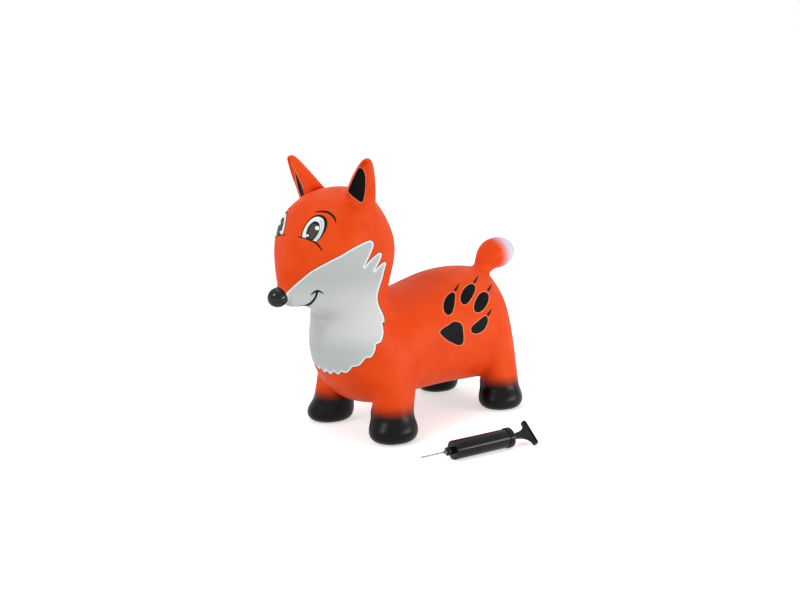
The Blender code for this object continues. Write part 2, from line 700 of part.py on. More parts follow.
def build_barrel(parts, axis, plastic, rubber):
    """Barrel with its spigot, rear cap, outlet collar and check valve."""
    front = barrel_front()
    rear = barrel_rear()
    spigot_end = front - SPIGOT_LENGTH
    inner = BARREL_RADIUS - BARREL_WALL
    thread_bore = THREAD_RADIUS + SEAT_GAP
    pocket_radius = CHECK_FLANGE_RADIUS + SEAT_GAP
    pocket = front + BARREL_END_WALL - CHECK_FLANGE_THICKNESS
    turned("pump_barrel", flipped((
        (thread_bore, spigot_end), (SPIGOT_RADIUS, spigot_end), (SPIGOT_RADIUS, front),
        (BARREL_RADIUS - BARREL_EDGE, front), (BARREL_RADIUS - BARREL_EDGE * 0.3, front + BARREL_EDGE * 0.3),
        (BARREL_RADIUS, front + BARREL_EDGE), (BARREL_RADIUS, rear), (inner, rear),
        (inner, front + BARREL_END_WALL), (pocket_radius, front + BARREL_END_WALL), (pocket_radius, pocket),
        (thread_bore, pocket),
    )), FINE_SEGMENTS, parts, axis, plastic)

    end_wall = rear + SEAT_GAP
    cap_end = end_wall + CAP_END_WALL
    cap_start = cap_end - CAP_LENGTH
    skirt = BARREL_RADIUS + SEAT_GAP
    flange_end = cap_start + CAP_FLANGE_LENGTH
    turned("barrel_end_cap", flipped((
        (skirt, cap_start), (CAP_RADIUS, cap_start), (CAP_RADIUS, flange_end),
        (CAP_RADIUS - CAP_GROOVE, flange_end), (CAP_RADIUS - CAP_GROOVE, flange_end + CAP_GROOVE),
        (CAP_RADIUS, flange_end + CAP_GROOVE), (CAP_RADIUS, cap_end - CAP_EDGE),
        (CAP_RADIUS - CAP_EDGE, cap_end), (ROD_RADIUS + ROD_RUNNING_GAP, cap_end),
        (ROD_RADIUS + ROD_RUNNING_GAP, end_wall), (skirt, end_wall),
    )), FINE_SEGMENTS, parts, axis, plastic)

    nut_end = front - SEAT_GAP
    nut_start = nut_end - NUT_LENGTH
    nut_bore = SPIGOT_RADIUS + SEAT_GAP
    flange_end = nut_start + NUT_FLANGE_LENGTH
    turned("nozzle_nut", flipped((
        (nut_bore, nut_start), (NUT_RADIUS, nut_start), (NUT_RADIUS, flange_end),
        (NUT_BODY_RADIUS, flange_end), (NUT_BODY_RADIUS, nut_end), (nut_bore, nut_end),
    )), SEGMENTS, parts, axis, plastic)

    flange_start = pocket + SEAT_GAP
    flange_end = flange_start + CHECK_FLANGE_THICKNESS - 2.0 * SEAT_GAP
    beak_tip = flange_start - CHECK_BEAK_LENGTH
    turned("check_valve", flipped((
        (CHECK_SLIT_RADIUS, beak_tip), (CHECK_SLIT_RADIUS + SEAT_GAP, beak_tip),
        (CHECK_BEAK_RADIUS, flange_start), (CHECK_FLANGE_RADIUS, flange_start),
        (CHECK_FLANGE_RADIUS, flange_end), (CHECK_SLIT_RADIUS, flange_end),
    )), SMALL_SEGMENTS, parts, axis, rubber)


def handle_start():
    """Place of the handle's foot along the pump when the plunger is pushed in."""
    return barrel_rear() + CAP_END_WALL + 2.0 * SEAT_GAP


def build_plunger(parts, turning, cup_axis, plastic, rubber, steel):
    """Piston and rod, pushed fully in. The cup opens forwards, and pressure spreads its lip."""
    lip = barrel_front() + BARREL_END_WALL + PISTON_FRONT_GAP
    cup_front = lip + CUP_DEPTH
    cup_end = cup_front + CUP_BASE
    cup_radius = BARREL_RADIUS - BARREL_WALL - SEAT_GAP
    screw_hole = SCREW_RADIUS + SEAT_GAP
    half_wall = CUP_WALL / 2.0
    turned("piston_cup", flipped((
        (screw_hole, cup_front), (cup_radius - CUP_WALL, cup_front), (cup_radius - half_wall, lip),
        (cup_radius, lip), (cup_radius, cup_end - half_wall), (cup_radius - half_wall, cup_end),
        (screw_hole, cup_end),
    )), SEGMENTS, parts, cup_axis, rubber)

    head_start = cup_end + SEAT_GAP
    head_end = head_start + HEAD_THICKNESS
    head_radius = cup_radius - half_wall
    turned("piston_head", flipped((
        (screw_hole, head_start), (head_radius, head_start), (head_radius, head_end - half_wall),
        (head_radius - half_wall, head_end), (screw_hole, head_end),
    )), SEGMENTS, parts, turning, plastic)

    screw_head_end = cup_front - SEAT_GAP
    screw_front = screw_head_end - SCREW_HEAD_THICKNESS
    screw_end = screw_head_end + SCREW_LENGTH
    drive = screw_front + SCREW_HEAD_THICKNESS / 2.0
    turned("piston_screw", flipped((
        (0.0, drive), (SCREW_RADIUS, drive), (SCREW_RADIUS, screw_front), (SCREW_HEAD_RADIUS, screw_front),
        (SCREW_HEAD_RADIUS, screw_head_end), (SCREW_RADIUS, screw_head_end), (SCREW_RADIUS, screw_end),
        (0.0, screw_end),
    )), SMALL_SEGMENTS, parts, turning, steel)

    rod_start = head_end + SEAT_GAP
    hole_end = screw_end + SEAT_GAP
    shoulder = handle_start() - SEAT_GAP
    tenon_end = handle_start() + HANDLE_SOCKET_DEPTH - SEAT_GAP
    turned("plunger_rod", flipped((
        (0.0, hole_end), (screw_hole, hole_end), (screw_hole, rod_start), (ROD_RADIUS, rod_start),
        (ROD_RADIUS, shoulder), (ROD_TENON_RADIUS, shoulder), (ROD_TENON_RADIUS, tenon_end), (0.0, tenon_end),
    )), SMALL_SEGMENTS, parts, turning, plastic)


def handle_outline(inset):
    """Outline of the handle's plate, across and along, drawn in by an inset: a bar on a flared web."""
    half_span = HANDLE_SPAN / 2.0 - inset
    neck = HANDLE_NECK_RADIUS - inset
    top = HANDLE_LENGTH - inset
    bar = HANDLE_LENGTH - HANDLE_BAR + inset
    flare_start = HANDLE_NECK_LENGTH + inset
    corner = (top - bar) / 3.0
    flare_end = half_span - corner
    right = []
    for step in range(FLARE_STEPS + 1):
        angle = math.pi / 2.0 * step / FLARE_STEPS
        across = flare_end - (flare_end - neck) * math.cos(angle)
        right.append((across, flare_start + (bar - flare_start) * math.sin(angle)))
    for centre, start in ((bar + corner, -90.0), (top - corner, 0.0)):
        for step in range(CORNER_STEPS + 1):
            angle = math.radians(start + 90.0 * step / CORNER_STEPS)
            right.append((flare_end + corner * math.cos(angle), centre + corner * math.sin(angle)))
    right = [point for index, point in enumerate(right) if index == 0 or point != right[index - 1]]
    left = [(-across, along) for across, along in reversed(right)]
    return right + left


def plate(name, outline, thickness, edge, collection, parent):
    """Flat plate from an outline, standing in its parent's XZ plane, with rounded edges, as a mesh."""
    curve = bpy.data.curves.new(name + "_outline", "CURVE")
    curve.dimensions = "2D"
    curve.fill_mode = "BOTH"
    curve.extrude = thickness / 2.0 - edge
    curve.bevel_depth = edge
    curve.bevel_resolution = 1
    curve.offset = -edge
    spline = curve.splines.new("POLY")
    spline.points.add(len(outline) - 1)
    for point, (across, along) in zip(spline.points, outline):
        point.co = (across, along, 0.0, 1.0)
    spline.use_cyclic_u = True
    drawn = bpy.data.objects.new(name + "_drawn", curve)
    collection.objects.link(drawn)
    bpy.context.view_layer.update()
    mesh = bpy.data.meshes.new_from_object(drawn.evaluated_get(bpy.context.evaluated_depsgraph_get()))
    bpy.data.objects.remove(drawn, do_unlink=True)
    mesh.name = name
    mesh.materials.clear()
    shape = bmesh.new()
    shape.from_mesh(mesh)
    bmesh.ops.remove_doubles(shape, verts=shape.verts, dist=MERGE_DISTANCE)
    bmesh.ops.rotate(shape, verts=shape.verts, matrix=Matrix.Rotation(math.pi / 2.0, 3, "X"))
    bmesh.ops.recalc_face_normals(shape, faces=shape.faces)
    shape.to_mesh(mesh)
    shape.free()
    return place(mesh, name, collection, parent)


def build_handle(parts, cutters, turning, plastic):
    """T-shaped grip: a bar on a flared, recessed web, with a round socketed neck."""
    start = handle_start()
    frame = new_frame("handle_frame", parts, turning, (0.0, 0.0, start), (0.0, 0.0, HANDLE_TURN))
    handle = plate("t_handle", handle_outline(0.0), HANDLE_THICKNESS, HANDLE_EDGE, parts, frame)
    handle.data.materials.append(plastic)
    neck_end = HANDLE_NECK_LENGTH + HANDLE_NECK_RADIUS
    neck = turned("handle_neck", (
        (0.0, neck_end), (HANDLE_NECK_RADIUS - HANDLE_EDGE, neck_end),
        (HANDLE_NECK_RADIUS, neck_end - HANDLE_EDGE), (HANDLE_NECK_RADIUS, 0.0), (0.0, 0.0),
    ), SEGMENTS, cutters, frame)
    socket_radius = ROD_TENON_RADIUS + SEAT_GAP
    socket_profile = rod_profile(socket_radius, -CUT_OVERRUN, HANDLE_SOCKET_DEPTH + SEAT_GAP)
    socket = turned("handle_socket", socket_profile, SMALL_SEGMENTS, cutters, frame)
    combine(handle, as_cutter(neck), "UNION")
    combine(handle, as_cutter(socket), "DIFFERENCE")
    for side, sign in (("front", 1.0), ("back", -1.0)):
        name = f"handle_recess_{side}"
        outline = handle_outline(HANDLE_RIM)
        recess = plate(name, outline, 2.0 * HANDLE_RECESS_DEPTH, HANDLE_EDGE / 2.0, cutters, frame)
        recess.location.y = sign * HANDLE_THICKNESS / 2.0
        combine(handle, as_cutter(recess), "DIFFERENCE")


def build_needle(parts, cutters, axis, rubber, steel):
    """Ball needle: a closed steel tube with a side port, pressed into a threaded hub on a washer."""
    washer_axis = new_frame("washer_slide_axis", parts, axis)
    needle_axis = new_frame("needle_turn_axis", parts, washer_axis)
    root_end = NEEDLE_REACH + NEEDLE_ROOT
    tube = turned("needle_tube", flipped((
        (0.0, 0.0), (NEEDLE_RADIUS * 0.7, NEEDLE_RADIUS * 0.3), (NEEDLE_RADIUS, NEEDLE_RADIUS),
        (NEEDLE_RADIUS, root_end), (NEEDLE_BORE_RADIUS, root_end),
        (NEEDLE_BORE_RADIUS, NEEDLE_PORT_SETBACK - NEEDLE_RADIUS), (0.0, NEEDLE_PORT_SETBACK - NEEDLE_RADIUS),
    )), SMALL_SEGMENTS, parts, needle_axis, steel)
    port = turned("needle_port", rod_profile(NEEDLE_PORT_RADIUS, 0.0, NEEDLE_RADIUS + CUT_OVERRUN),
                  SMALL_SEGMENTS, cutters, needle_axis)
    port.location.z = NEEDLE_PORT_SETBACK
    port.rotation_euler.y = math.pi / 2.0
    combine(tube, as_cutter(port), "DIFFERENCE")

    socket = NEEDLE_RADIUS + SEAT_GAP
    neck_end = NEEDLE_REACH + HUB_NECK_LENGTH
    flange_end = neck_end + HUB_FLANGE_THICKNESS
    thread_end = barrel_front() - SPIGOT_LENGTH + THREAD_LENGTH
    chamfer = THREAD_RADIUS / 6.0
    turned("needle_hub", flipped((
        (socket, NEEDLE_REACH), (HUB_NECK_RADIUS, NEEDLE_REACH), (HUB_NECK_RADIUS, neck_end),
        (HUB_FLANGE_RADIUS, neck_end), (HUB_FLANGE_RADIUS, flange_end), (THREAD_RADIUS, flange_end),
        (THREAD_RADIUS, thread_end - chamfer), (THREAD_RADIUS - chamfer, thread_end),
        (NEEDLE_BORE_RADIUS, thread_end), (NEEDLE_BORE_RADIUS, root_end + SEAT_GAP),
        (socket, root_end + SEAT_GAP),
    )), SMALL_SEGMENTS, parts, needle_axis, steel)

    washer_start = flange_end + SEAT_GAP
    washer_end = washer_start + WASHER_THICKNESS
    turned("needle_washer", flipped((
        (THREAD_RADIUS + SEAT_GAP, washer_start), (WASHER_RADIUS, washer_start), (WASHER_RADIUS, washer_end),
        (THREAD_RADIUS + SEAT_GAP, washer_end),
    )), SMALL_SEGMENTS, parts, washer_axis, rubber)


def stand_on_origin(parts, root):
    """Moves the set so that the middle of its lowest plane is the origin."""
    bpy.context.view_layer.update()
    graph = bpy.context.evaluated_depsgraph_get()
    corners = []
    for piece in parts.objects:
        if piece.type == "MESH":
            shape = piece.evaluated_get(graph)
            corners += [piece.matrix_world @ vertex.co for vertex in shape.data.vertices]
    low = [min(corner[axis] for corner in corners) for axis in range(3)]
    high = [max(corner[axis] for corner in corners) for axis in range(3)]
    root.location = (-(low[0] + high[0]) / 2.0, -(low[1] + high[1]) / 2.0, -low[2])
    bpy.context.view_layer.update()


def build():
    """Everything."""
    for piece in list(bpy.data.objects):
        bpy.data.objects.remove(piece, do_unlink=True)
    parts = new_collection("inflatable_fox")
    cutters = new_collection("cutters")
    root = new_frame("set_frame", parts, None)
    vinyl = new_material("orange_vinyl", (0.94, 0.33, 0.15), 0.42)
    soft = new_material("white_soft_vinyl", (0.88, 0.88, 0.86), 0.45)
    rubber = new_material("black_rubber", (0.05, 0.05, 0.05), 0.75)
    plastic = new_material("black_gloss_plastic", (0.03, 0.03, 0.035), 0.18)
    steel = new_material("nickel_plated_steel", (0.72, 0.70, 0.66), 0.25, 1.0)
    build_skin(parts, cutters, root, vinyl)
    build_valve(parts, root, soft, rubber)
    axis = pump_axis_frame(parts, root)
    build_barrel(parts, axis, plastic, rubber)
    cup_axis = new_frame("plunger_slide_axis", parts, axis)
    turning = new_frame("plunger_turn_axis", parts, cup_axis)
    build_plunger(parts, turning, cup_axis, plastic, rubber, steel)
    build_handle(parts, cutters, turning, plastic)
    build_needle(parts, cutters, axis, rubber, steel)
    stand_on_origin(parts, root)


build()
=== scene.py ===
"""Inflatable fox for a small child to bounce on, with its hand pump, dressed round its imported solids.

The fox's skin is drawn again as a fine smooth surface, and its paint follows signed distances to
outlines that are laid on the skin from the left front. The pump's turned pieces are drawn again
with rounded edges on the pump's own axis. Pieces that stay hidden keep their solids, with a finish.

Lengths are in metres and angles in radians. The fox faces -Y and its left side is +X.
"""
import json
import math

import bmesh
import bpy
import numpy as np
from mathutils import Matrix, Vector

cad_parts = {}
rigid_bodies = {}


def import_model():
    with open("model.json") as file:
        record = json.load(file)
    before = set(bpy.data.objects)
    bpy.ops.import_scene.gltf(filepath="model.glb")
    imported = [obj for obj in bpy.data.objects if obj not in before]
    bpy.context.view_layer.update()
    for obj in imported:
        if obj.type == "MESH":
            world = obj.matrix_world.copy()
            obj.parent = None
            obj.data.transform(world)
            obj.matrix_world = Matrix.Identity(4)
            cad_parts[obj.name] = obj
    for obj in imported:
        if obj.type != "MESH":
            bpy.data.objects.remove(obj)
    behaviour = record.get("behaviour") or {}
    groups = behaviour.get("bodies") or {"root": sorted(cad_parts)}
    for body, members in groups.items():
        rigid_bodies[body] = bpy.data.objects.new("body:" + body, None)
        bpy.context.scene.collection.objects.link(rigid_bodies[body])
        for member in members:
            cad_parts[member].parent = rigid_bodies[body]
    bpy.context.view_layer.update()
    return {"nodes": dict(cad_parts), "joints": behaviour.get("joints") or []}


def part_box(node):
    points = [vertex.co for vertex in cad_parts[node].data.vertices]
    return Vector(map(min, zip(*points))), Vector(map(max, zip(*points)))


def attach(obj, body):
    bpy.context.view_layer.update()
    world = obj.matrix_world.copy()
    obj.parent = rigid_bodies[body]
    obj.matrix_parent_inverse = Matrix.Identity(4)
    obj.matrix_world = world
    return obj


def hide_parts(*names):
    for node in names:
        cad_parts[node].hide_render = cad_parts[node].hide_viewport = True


bl_info = {
    "name": "Inflatable fox with hand pump",
    "version": (1, 0, 0),
    "blender": (4, 5, 0),
    "location": "View3D > Sidebar > Fox",
    "description": "Builds the fox's painted skin, its belly valve, its hand pump and a plain studio",
    "category": "Add Mesh",
}

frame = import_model()

MM = 0.001


# Colours


def linear(hex_colour):
    """Linear RGBA of an sRGB hex colour."""
    channels = [int(hex_colour[start:start + 2], 16) / 255.0 for start in (1, 3, 5)]
    return tuple(c / 12.92 if c <= 0.04045 else ((c + 0.055) / 1.055) ** 2.4 for c in channels) + (1.0,)


# Objects


def add_object(name, data):
    """Object in the scene that holds a mesh, a curve, a lamp or a camera."""
    made = bpy.data.objects.new(name, data)
    bpy.context.scene.collection.objects.link(made)
    return made


def remove_object(used):
    """Removes an object and what it holds."""
    data = used.data
    bpy.data.objects.remove(used, do_unlink=True)
    bpy.data.batch_remove([data])


def finished_mesh(holder):
    """Mesh of an object after its modifiers. The object is removed."""
    graph = bpy.context.evaluated_depsgraph_get()
    mesh = bpy.data.meshes.new_from_object(holder.evaluated_get(graph))
    remove_object(holder)
    return mesh


# Skin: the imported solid's cage, but for slimmer ear tips and a few rings moved by some millimetres

TRUNK_HALF_LENGTH = 200.0 * MM
TRUNK_HALF_WIDTH = 105.0 * MM
BACK_HEIGHT = 280.0 * MM
BELLY_HEIGHT = 60.0 * MM
SKULL_Y = -190.0 * MM
SKULL_Z = 350.0 * MM
SKULL_RADIUS = 100.0 * MM
SKULL_HALF_WIDTH = 95.0 * MM
NOSE_RADIUS = 17.5 * MM
NOSE_CENTRE = Vector((0.0, -330.0 * MM, 272.5 * MM))
MUZZLE_DROP = math.radians(20.0)
STANCE_HALF_WIDTH = 88.0 * MM
HIP_HALF_WIDTH = 76.0 * MM
FRONT_FEET_Y = -140.0 * MM
REAR_FEET_Y = 156.0 * MM
LEG_RADIUS = 39.0 * MM
HOOF_RADIUS = 41.0 * MM
HOOF_HEIGHT = 52.0 * MM
TOE_LENGTH = 14.0 * MM
SOLE_CUT = 3.0 * MM
TAIL_ROOT = Vector((0.0, 184.0 * MM, 258.0 * MM))
TAIL_LENGTH = 100.0 * MM
TAIL_ROOT_RADIUS = 16.0 * MM
TAIL_BULB_RADIUS = 35.0 * MM
EAR_BASE = Vector((60.0 * MM, -197.0 * MM, 428.0 * MM))
EAR_LENGTH = 97.0 * MM
EAR_HALF_WIDTH = 27.0 * MM
EAR_HALF_DEPTH = 24.0 * MM
# Place along the ear and half width there, and the half depths at the same places, in shares
EAR_WIDTHS = ((0.08, 1.02), (0.24, 0.96), (0.48, 0.80), (0.72, 0.55), (0.91, 0.25))
EAR_DEPTH_SHARES = (1.02, 0.86, 0.68, 0.50, 0.30)
EAR_LEAN_OUT = math.radians(31.0)
EAR_LEAN_FORWARD = math.radians(14.0)
EAR_TURN_OUT = math.radians(24.0)
EAR_HOLLOW_DEPTH = 10.0 * MM
EAR_RIM = 5.0 * MM
# How far the ear's two edges run on past its last ring, in shares of its length
EAR_TIP_SHARE = 0.03
VALVE_Y = 10.0 * MM
BOSS_RADIUS = 13.0 * MM
BOSS_BLEND = 3.5 * MM
VALVE_BORE_RADIUS = 6.0 * MM
VALVE_BORE_LENGTH = 11.0 * MM
RUMP_POLE_SHARE = 0.63
# Tip of the nose ball in shares of its radius, in the cage and on the smooth form
NOSE_TIP_SHARE = 1.04
SMOOTH_NOSE_TIP_SHARE = 0.98
# Ways back and up from the tail's root in shares of its length: its tip, and the middle of its paint
TAIL_TIP_SHARES = (0.99, 0.34)
TAIL_PAINT_SHARES = (1.02, 0.42)
LEG_SIDES = 8
MERGE_DISTANCE = 0.01 * MM
# Keeps what is divided by from being zero
TINY = 1e-12

# What smoothing draws the radius of a ring of 12, 8 or 6 points in to
RING_12_SHARE = (4.0 + 2.0 * math.cos(math.tau / 12)) / 6.0
RING_8_SHARE = (4.0 + 2.0 * math.cos(math.tau / 8)) / 6.0
RING_6_SHARE = (4.0 + 2.0 * math.cos(math.tau / 6)) / 6.0

# Half widths at a ring's seven points, from its top to its bottom
ROUND_SHARES = (0.0, 0.50, 0.87, 1.0, 0.87, 0.50, 0.0)
RUMP_SHARES = (0.0, 0.48, 0.81, 0.98, 0.98, 0.62, 0.0)
TRUNK_SHARES = (0.0, 0.54, 0.91, 1.0, 0.95, 0.60, 0.0)
WITHERS_SHARES = (0.0, 0.36, 0.80, 1.0, 0.97, 0.60, 0.0)
SHOULDER_SHARES = (0.0, 0.36, 0.72, 0.98, 1.0, 0.62, 0.0)
CHEST_SHARES = (0.0, 0.42, 0.72, 0.93, 1.0, 0.62, 0.0)
NECK_SHARES = (0.0, 0.62, 0.98, 0.93, 0.93, 0.58, 0.0)
NAPE_SHARES = (0.0, 0.58, 1.0, 0.95, 0.72, 0.42, 0.0)
SKULL_SHARES = (0.0, 0.52, 0.93, 1.0, 0.80, 0.42, 0.0)
FACE_SHARES = (0.0, 0.54, 0.92, 1.0, 0.74, 0.41, 0.0)
BROW_SHARES = (0.0, 0.60, 1.0, 0.95, 0.70, 0.40, 0.0)
MUZZLE_SHARES = (0.0, 0.52, 1.0, 1.0, 0.80, 0.48, 0.0)

# Rings and columns of the tube that each limb's opening spans
REAR_LEG_RINGS = range(1, 4)
FRONT_LEG_RINGS = range(6, 9)
LEG_COLUMNS = range(3, 6)
TAIL_RINGS = range(0, 3)
TAIL_COLUMNS = range(0, 2)
EAR_RINGS = range(12, 15)
EAR_COLUMNS = range(1, 3)

# Where the outlines of the paint are laid on from, in the fox's own frame: the place, the turn and
# the pitch of the view, and how far in front of the eye the picture stands, in picture units.
VIEW_PLACE = Vector((1266.1 * MM, -1265.8 * MM, 565.1 * MM))
VIEW_TURN = math.radians(46.0)
VIEW_PITCH = math.radians(10.75)
VIEW_REACH = 948.0
VIEW_CENTRE = (400.0, 300.0)
# Millimetres on the fox that one picture unit covers, near enough for the paint's edges
UNIT_MM = 1.85

# Outlines of the paint in picture units. A point given twice is a corner.
BIB = (
    (284.5, 306.0), (284.8, 300.0), (285.4, 296.0), (286.6, 292.4), (289.5, 289.6), (295.0, 284.4),
    (300.0, 280.3), (305.0, 276.0), (310.0, 272.0), (315.0, 269.0), (320.0, 266.2), (330.0, 260.8),
    (340.0, 255.8), (350.0, 249.8), (360.0, 244.4), (366.5, 241.4), (370.3, 240.5), (372.9, 242.2),
    (373.4, 246.0), (372.0, 250.0), (370.2, 254.5), (368.4, 258.6), (366.3, 262.8), (364.2, 267.0),
    (364.2, 267.0), (367.0, 263.5), (370.5, 259.6), (374.5, 256.0), (378.0, 253.2), (380.4, 252.8),
    (381.6, 254.6), (380.8, 258.2), (379.2, 262.0), (376.8, 266.4), (374.2, 270.9), (374.2, 270.9),
    (377.5, 267.2), (381.5, 263.6), (384.6, 262.0), (385.9, 263.4), (385.2, 267.0), (383.8, 272.0),
    (382.4, 278.0), (380.2, 285.0), (378.6, 290.0), (377.5, 295.5), (377.6, 301.0), (379.0, 306.0),
    (381.2, 311.0), (383.2, 315.5), (384.2, 320.0), (384.0, 322.0), (384.0, 322.0), (382.2, 322.6),
    (381.8, 323.4), (381.8, 323.4), (382.8, 327.0), (383.2, 331.5), (382.8, 336.0), (381.6, 340.4),
    (380.2, 342.6), (380.2, 342.6), (377.2, 343.8), (375.6, 345.0), (375.6, 345.0), (375.4, 348.6),
    (374.2, 352.6), (372.4, 356.0), (370.2, 357.8), (370.2, 357.8), (366.8, 358.0), (364.8, 359.0),
    (364.8, 359.0), (362.4, 362.2), (359.8, 365.0), (357.0, 366.4), (354.4, 366.8), (351.9, 367.2),
    (351.9, 367.2), (350.0, 369.8), (347.6, 372.2), (344.8, 373.1), (342.6, 372.4), (341.2, 371.6),
    (341.2, 371.6), (339.8, 373.6), (337.6, 374.5), (335.4, 373.4), (333.2, 371.4), (333.2, 371.4),
    (331.8, 373.6), (330.2, 374.3), (327.6, 372.2), (324.9, 369.6), (324.9, 369.6), (322.6, 369.2),
    (321.0, 367.6), (317.0, 363.6), (312.0, 360.0), (300.0, 372.0), (300.0, 372.0), (265.0, 372.0),
    (265.0, 372.0), (265.0, 312.0), (265.0, 312.0),
)
EYE_WHITE = (
    (301.8, 237.4), (302.4, 233.4), (304.0, 228.9), (306.6, 224.3), (309.6, 220.6), (313.2, 217.9),
    (316.9, 216.8), (320.4, 217.2), (323.0, 219.4), (324.3, 222.6), (324.3, 226.2), (323.3, 230.0),
    (321.5, 234.2), (319.2, 238.0), (316.2, 241.4), (316.2, 241.4), (312.6, 240.6), (308.4, 239.2),
    (304.8, 238.2), (301.8, 237.4),
)
EYE_SHADE = (
    (318.6, 219.4), (321.4, 219.8), (323.0, 222.4), (323.0, 226.4), (321.8, 230.6), (319.6, 235.4),
    (316.6, 239.9), (313.4, 239.4), (316.4, 235.8), (318.9, 231.4), (320.3, 227.0), (320.0, 222.6),
)
IRIS = (
    (315.6, 221.3), (317.9, 222.3), (319.3, 224.8), (319.5, 228.6), (318.4, 232.2), (316.0, 236.2),
    (312.6, 240.2), (309.0, 239.2), (305.9, 238.2), (305.7, 235.0), (306.2, 231.4), (307.7, 227.4),
    (310.2, 223.9), (313.0, 221.7),
)
IRIS_GLOW = (
    (314.2, 223.6), (315.9, 225.0), (316.2, 228.4), (316.9, 231.2), (315.2, 234.8), (312.2, 238.9),
    (309.6, 238.8), (307.5, 237.4), (307.4, 233.6), (308.4, 229.4), (310.2, 226.0), (312.4, 224.0),
)
EYE_OUTLINES = (("eye_white", EYE_WHITE), ("eye_shade", EYE_SHADE), ("iris", IRIS), ("iris_glow", IRIS_GLOW))
EAR_PANEL = (
    (359.8, 168.0), (362.4, 169.2), (364.2, 172.4), (365.1, 177.0), (365.3, 183.0), (365.0, 189.0),
    (364.2, 195.0), (363.0, 200.0), (361.6, 202.2), (359.4, 201.6), (356.0, 199.3), (352.0, 196.1),
    (348.6, 192.6), (346.8, 189.4), (346.8, 187.0), (348.4, 183.6), (350.2, 179.6), (352.4, 174.8),
    (354.8, 171.0), (357.2, 168.6),
)
PAW_SHAPES = (
    ((451.6, 292.4), (454.0, 292.9), (455.1, 295.4), (454.8, 300.2), (454.2, 305.4), (452.9, 310.4),
     (450.9, 313.9), (448.4, 315.1), (445.9, 314.2), (443.9, 311.2), (443.2, 307.2), (443.5, 303.0),
     (445.0, 298.6), (448.0, 294.6)),
    ((470.9, 283.8), (473.9, 284.9), (475.2, 288.0), (474.2, 292.4), (471.9, 297.2), (469.0, 301.6),
     (466.0, 304.1), (463.2, 304.5), (460.9, 302.4), (460.1, 298.6), (461.0, 294.0), (463.2, 289.6),
     (466.9, 285.7)),
    ((484.0, 291.9), (487.0, 292.9), (488.6, 296.4), (488.1, 301.2), (485.9, 306.1), (482.6, 310.2),
     (479.0, 312.4), (475.8, 312.2), (473.8, 309.6), (473.9, 305.0), (475.5, 300.0), (478.2, 295.4),
     (481.2, 292.6)),
    ((485.0, 315.9), (487.1, 317.2), (487.7, 321.0), (486.4, 325.6), (483.8, 329.6), (480.0, 332.5),
     (475.6, 333.7), (472.2, 332.9), (470.9, 330.2), (471.4, 327.2), (474.0, 324.2), (478.0, 321.0),
     (482.0, 317.6)),
    ((440.1, 331.2), (443.0, 328.4), (448.0, 325.3), (451.0, 323.0), (453.9, 321.6), (457.4, 321.9),
     (460.5, 323.4), (462.3, 326.2), (462.9, 331.0), (463.4, 337.0), (463.1, 342.0), (461.1, 344.8),
     (457.6, 345.1), (453.0, 343.3), (447.0, 340.1), (442.6, 336.4), (440.2, 333.6)),
)
# Brush lines: points with half the line's breadth there, in picture units
UPPER_LID = (
    (316.4, 241.6, 0.30), (319.6, 238.2, 0.50), (322.4, 233.9, 0.80), (324.5, 229.2, 1.15),
    (325.5, 224.8, 1.40), (325.2, 220.7, 1.50), (323.2, 217.6, 1.30), (320.0, 216.0, 1.00),
    (316.3, 215.9, 0.75), (313.0, 217.0, 0.50), (309.6, 219.5, 0.38), (306.3, 223.4, 0.32),
    (303.6, 228.2, 0.30), (301.9, 232.8, 0.30), (301.1, 236.8, 0.36),
)
LOWER_LID = (
    (297.3, 236.8, 0.30), (301.0, 237.4, 0.42), (304.5, 238.4, 0.50), (308.0, 239.5, 0.52),
    (311.2, 240.7, 0.62), (314.2, 242.1, 0.78), (317.0, 244.3, 0.80), (319.4, 247.1, 0.70),
    (321.6, 250.4, 0.36),
)
BROW_LINE = (
    (315.2, 212.0, 0.25), (319.0, 211.7, 0.60), (323.0, 211.5, 0.88), (327.0, 212.2, 0.98),
    (330.5, 214.0, 1.02), (333.3, 216.8, 0.95), (335.0, 219.8, 0.70), (335.7, 222.8, 0.25),
)
SMILE = (
    (300.4, 306.0, 0.35), (304.0, 306.0, 0.80), (307.6, 305.0, 1.10), (310.9, 302.9, 1.12),
    (313.6, 300.0, 1.02), (315.5, 296.6, 0.98), (316.6, 293.4, 1.02), (317.0, 291.4, 1.05),
)
SMILE_CORNER = (
    (310.7, 294.8, 0.30), (313.0, 292.9, 0.66), (315.5, 291.5, 0.95), (318.2, 291.0, 0.90),
    (320.6, 292.1, 0.60), (323.2, 293.9, 0.25),
)
CLAWS = (
    ((455.2, 289.9, 1.15), (457.0, 287.0, 0.85), (458.8, 283.6, 0.15)),
    ((474.2, 282.1, 1.20), (476.0, 279.3, 0.90), (478.0, 275.8, 0.15)),
    ((488.2, 290.1, 1.20), (489.8, 287.3, 0.90), (491.6, 284.1, 0.15)),
    ((487.9, 314.6, 1.25), (489.7, 312.0, 0.90), (491.6, 308.8, 0.15)),
)
BRUSH_LINES = (UPPER_LID, LOWER_LID, BROW_LINE, SMILE, SMILE_CORNER)
# Middle and radius of each glint in the eye
GLINTS = ((316.9, 228.1, 2.15), (307.1, 235.6, 1.25))
# What a brush line spreads at either edge, in picture units
BRUSH_SPREAD = 0.14

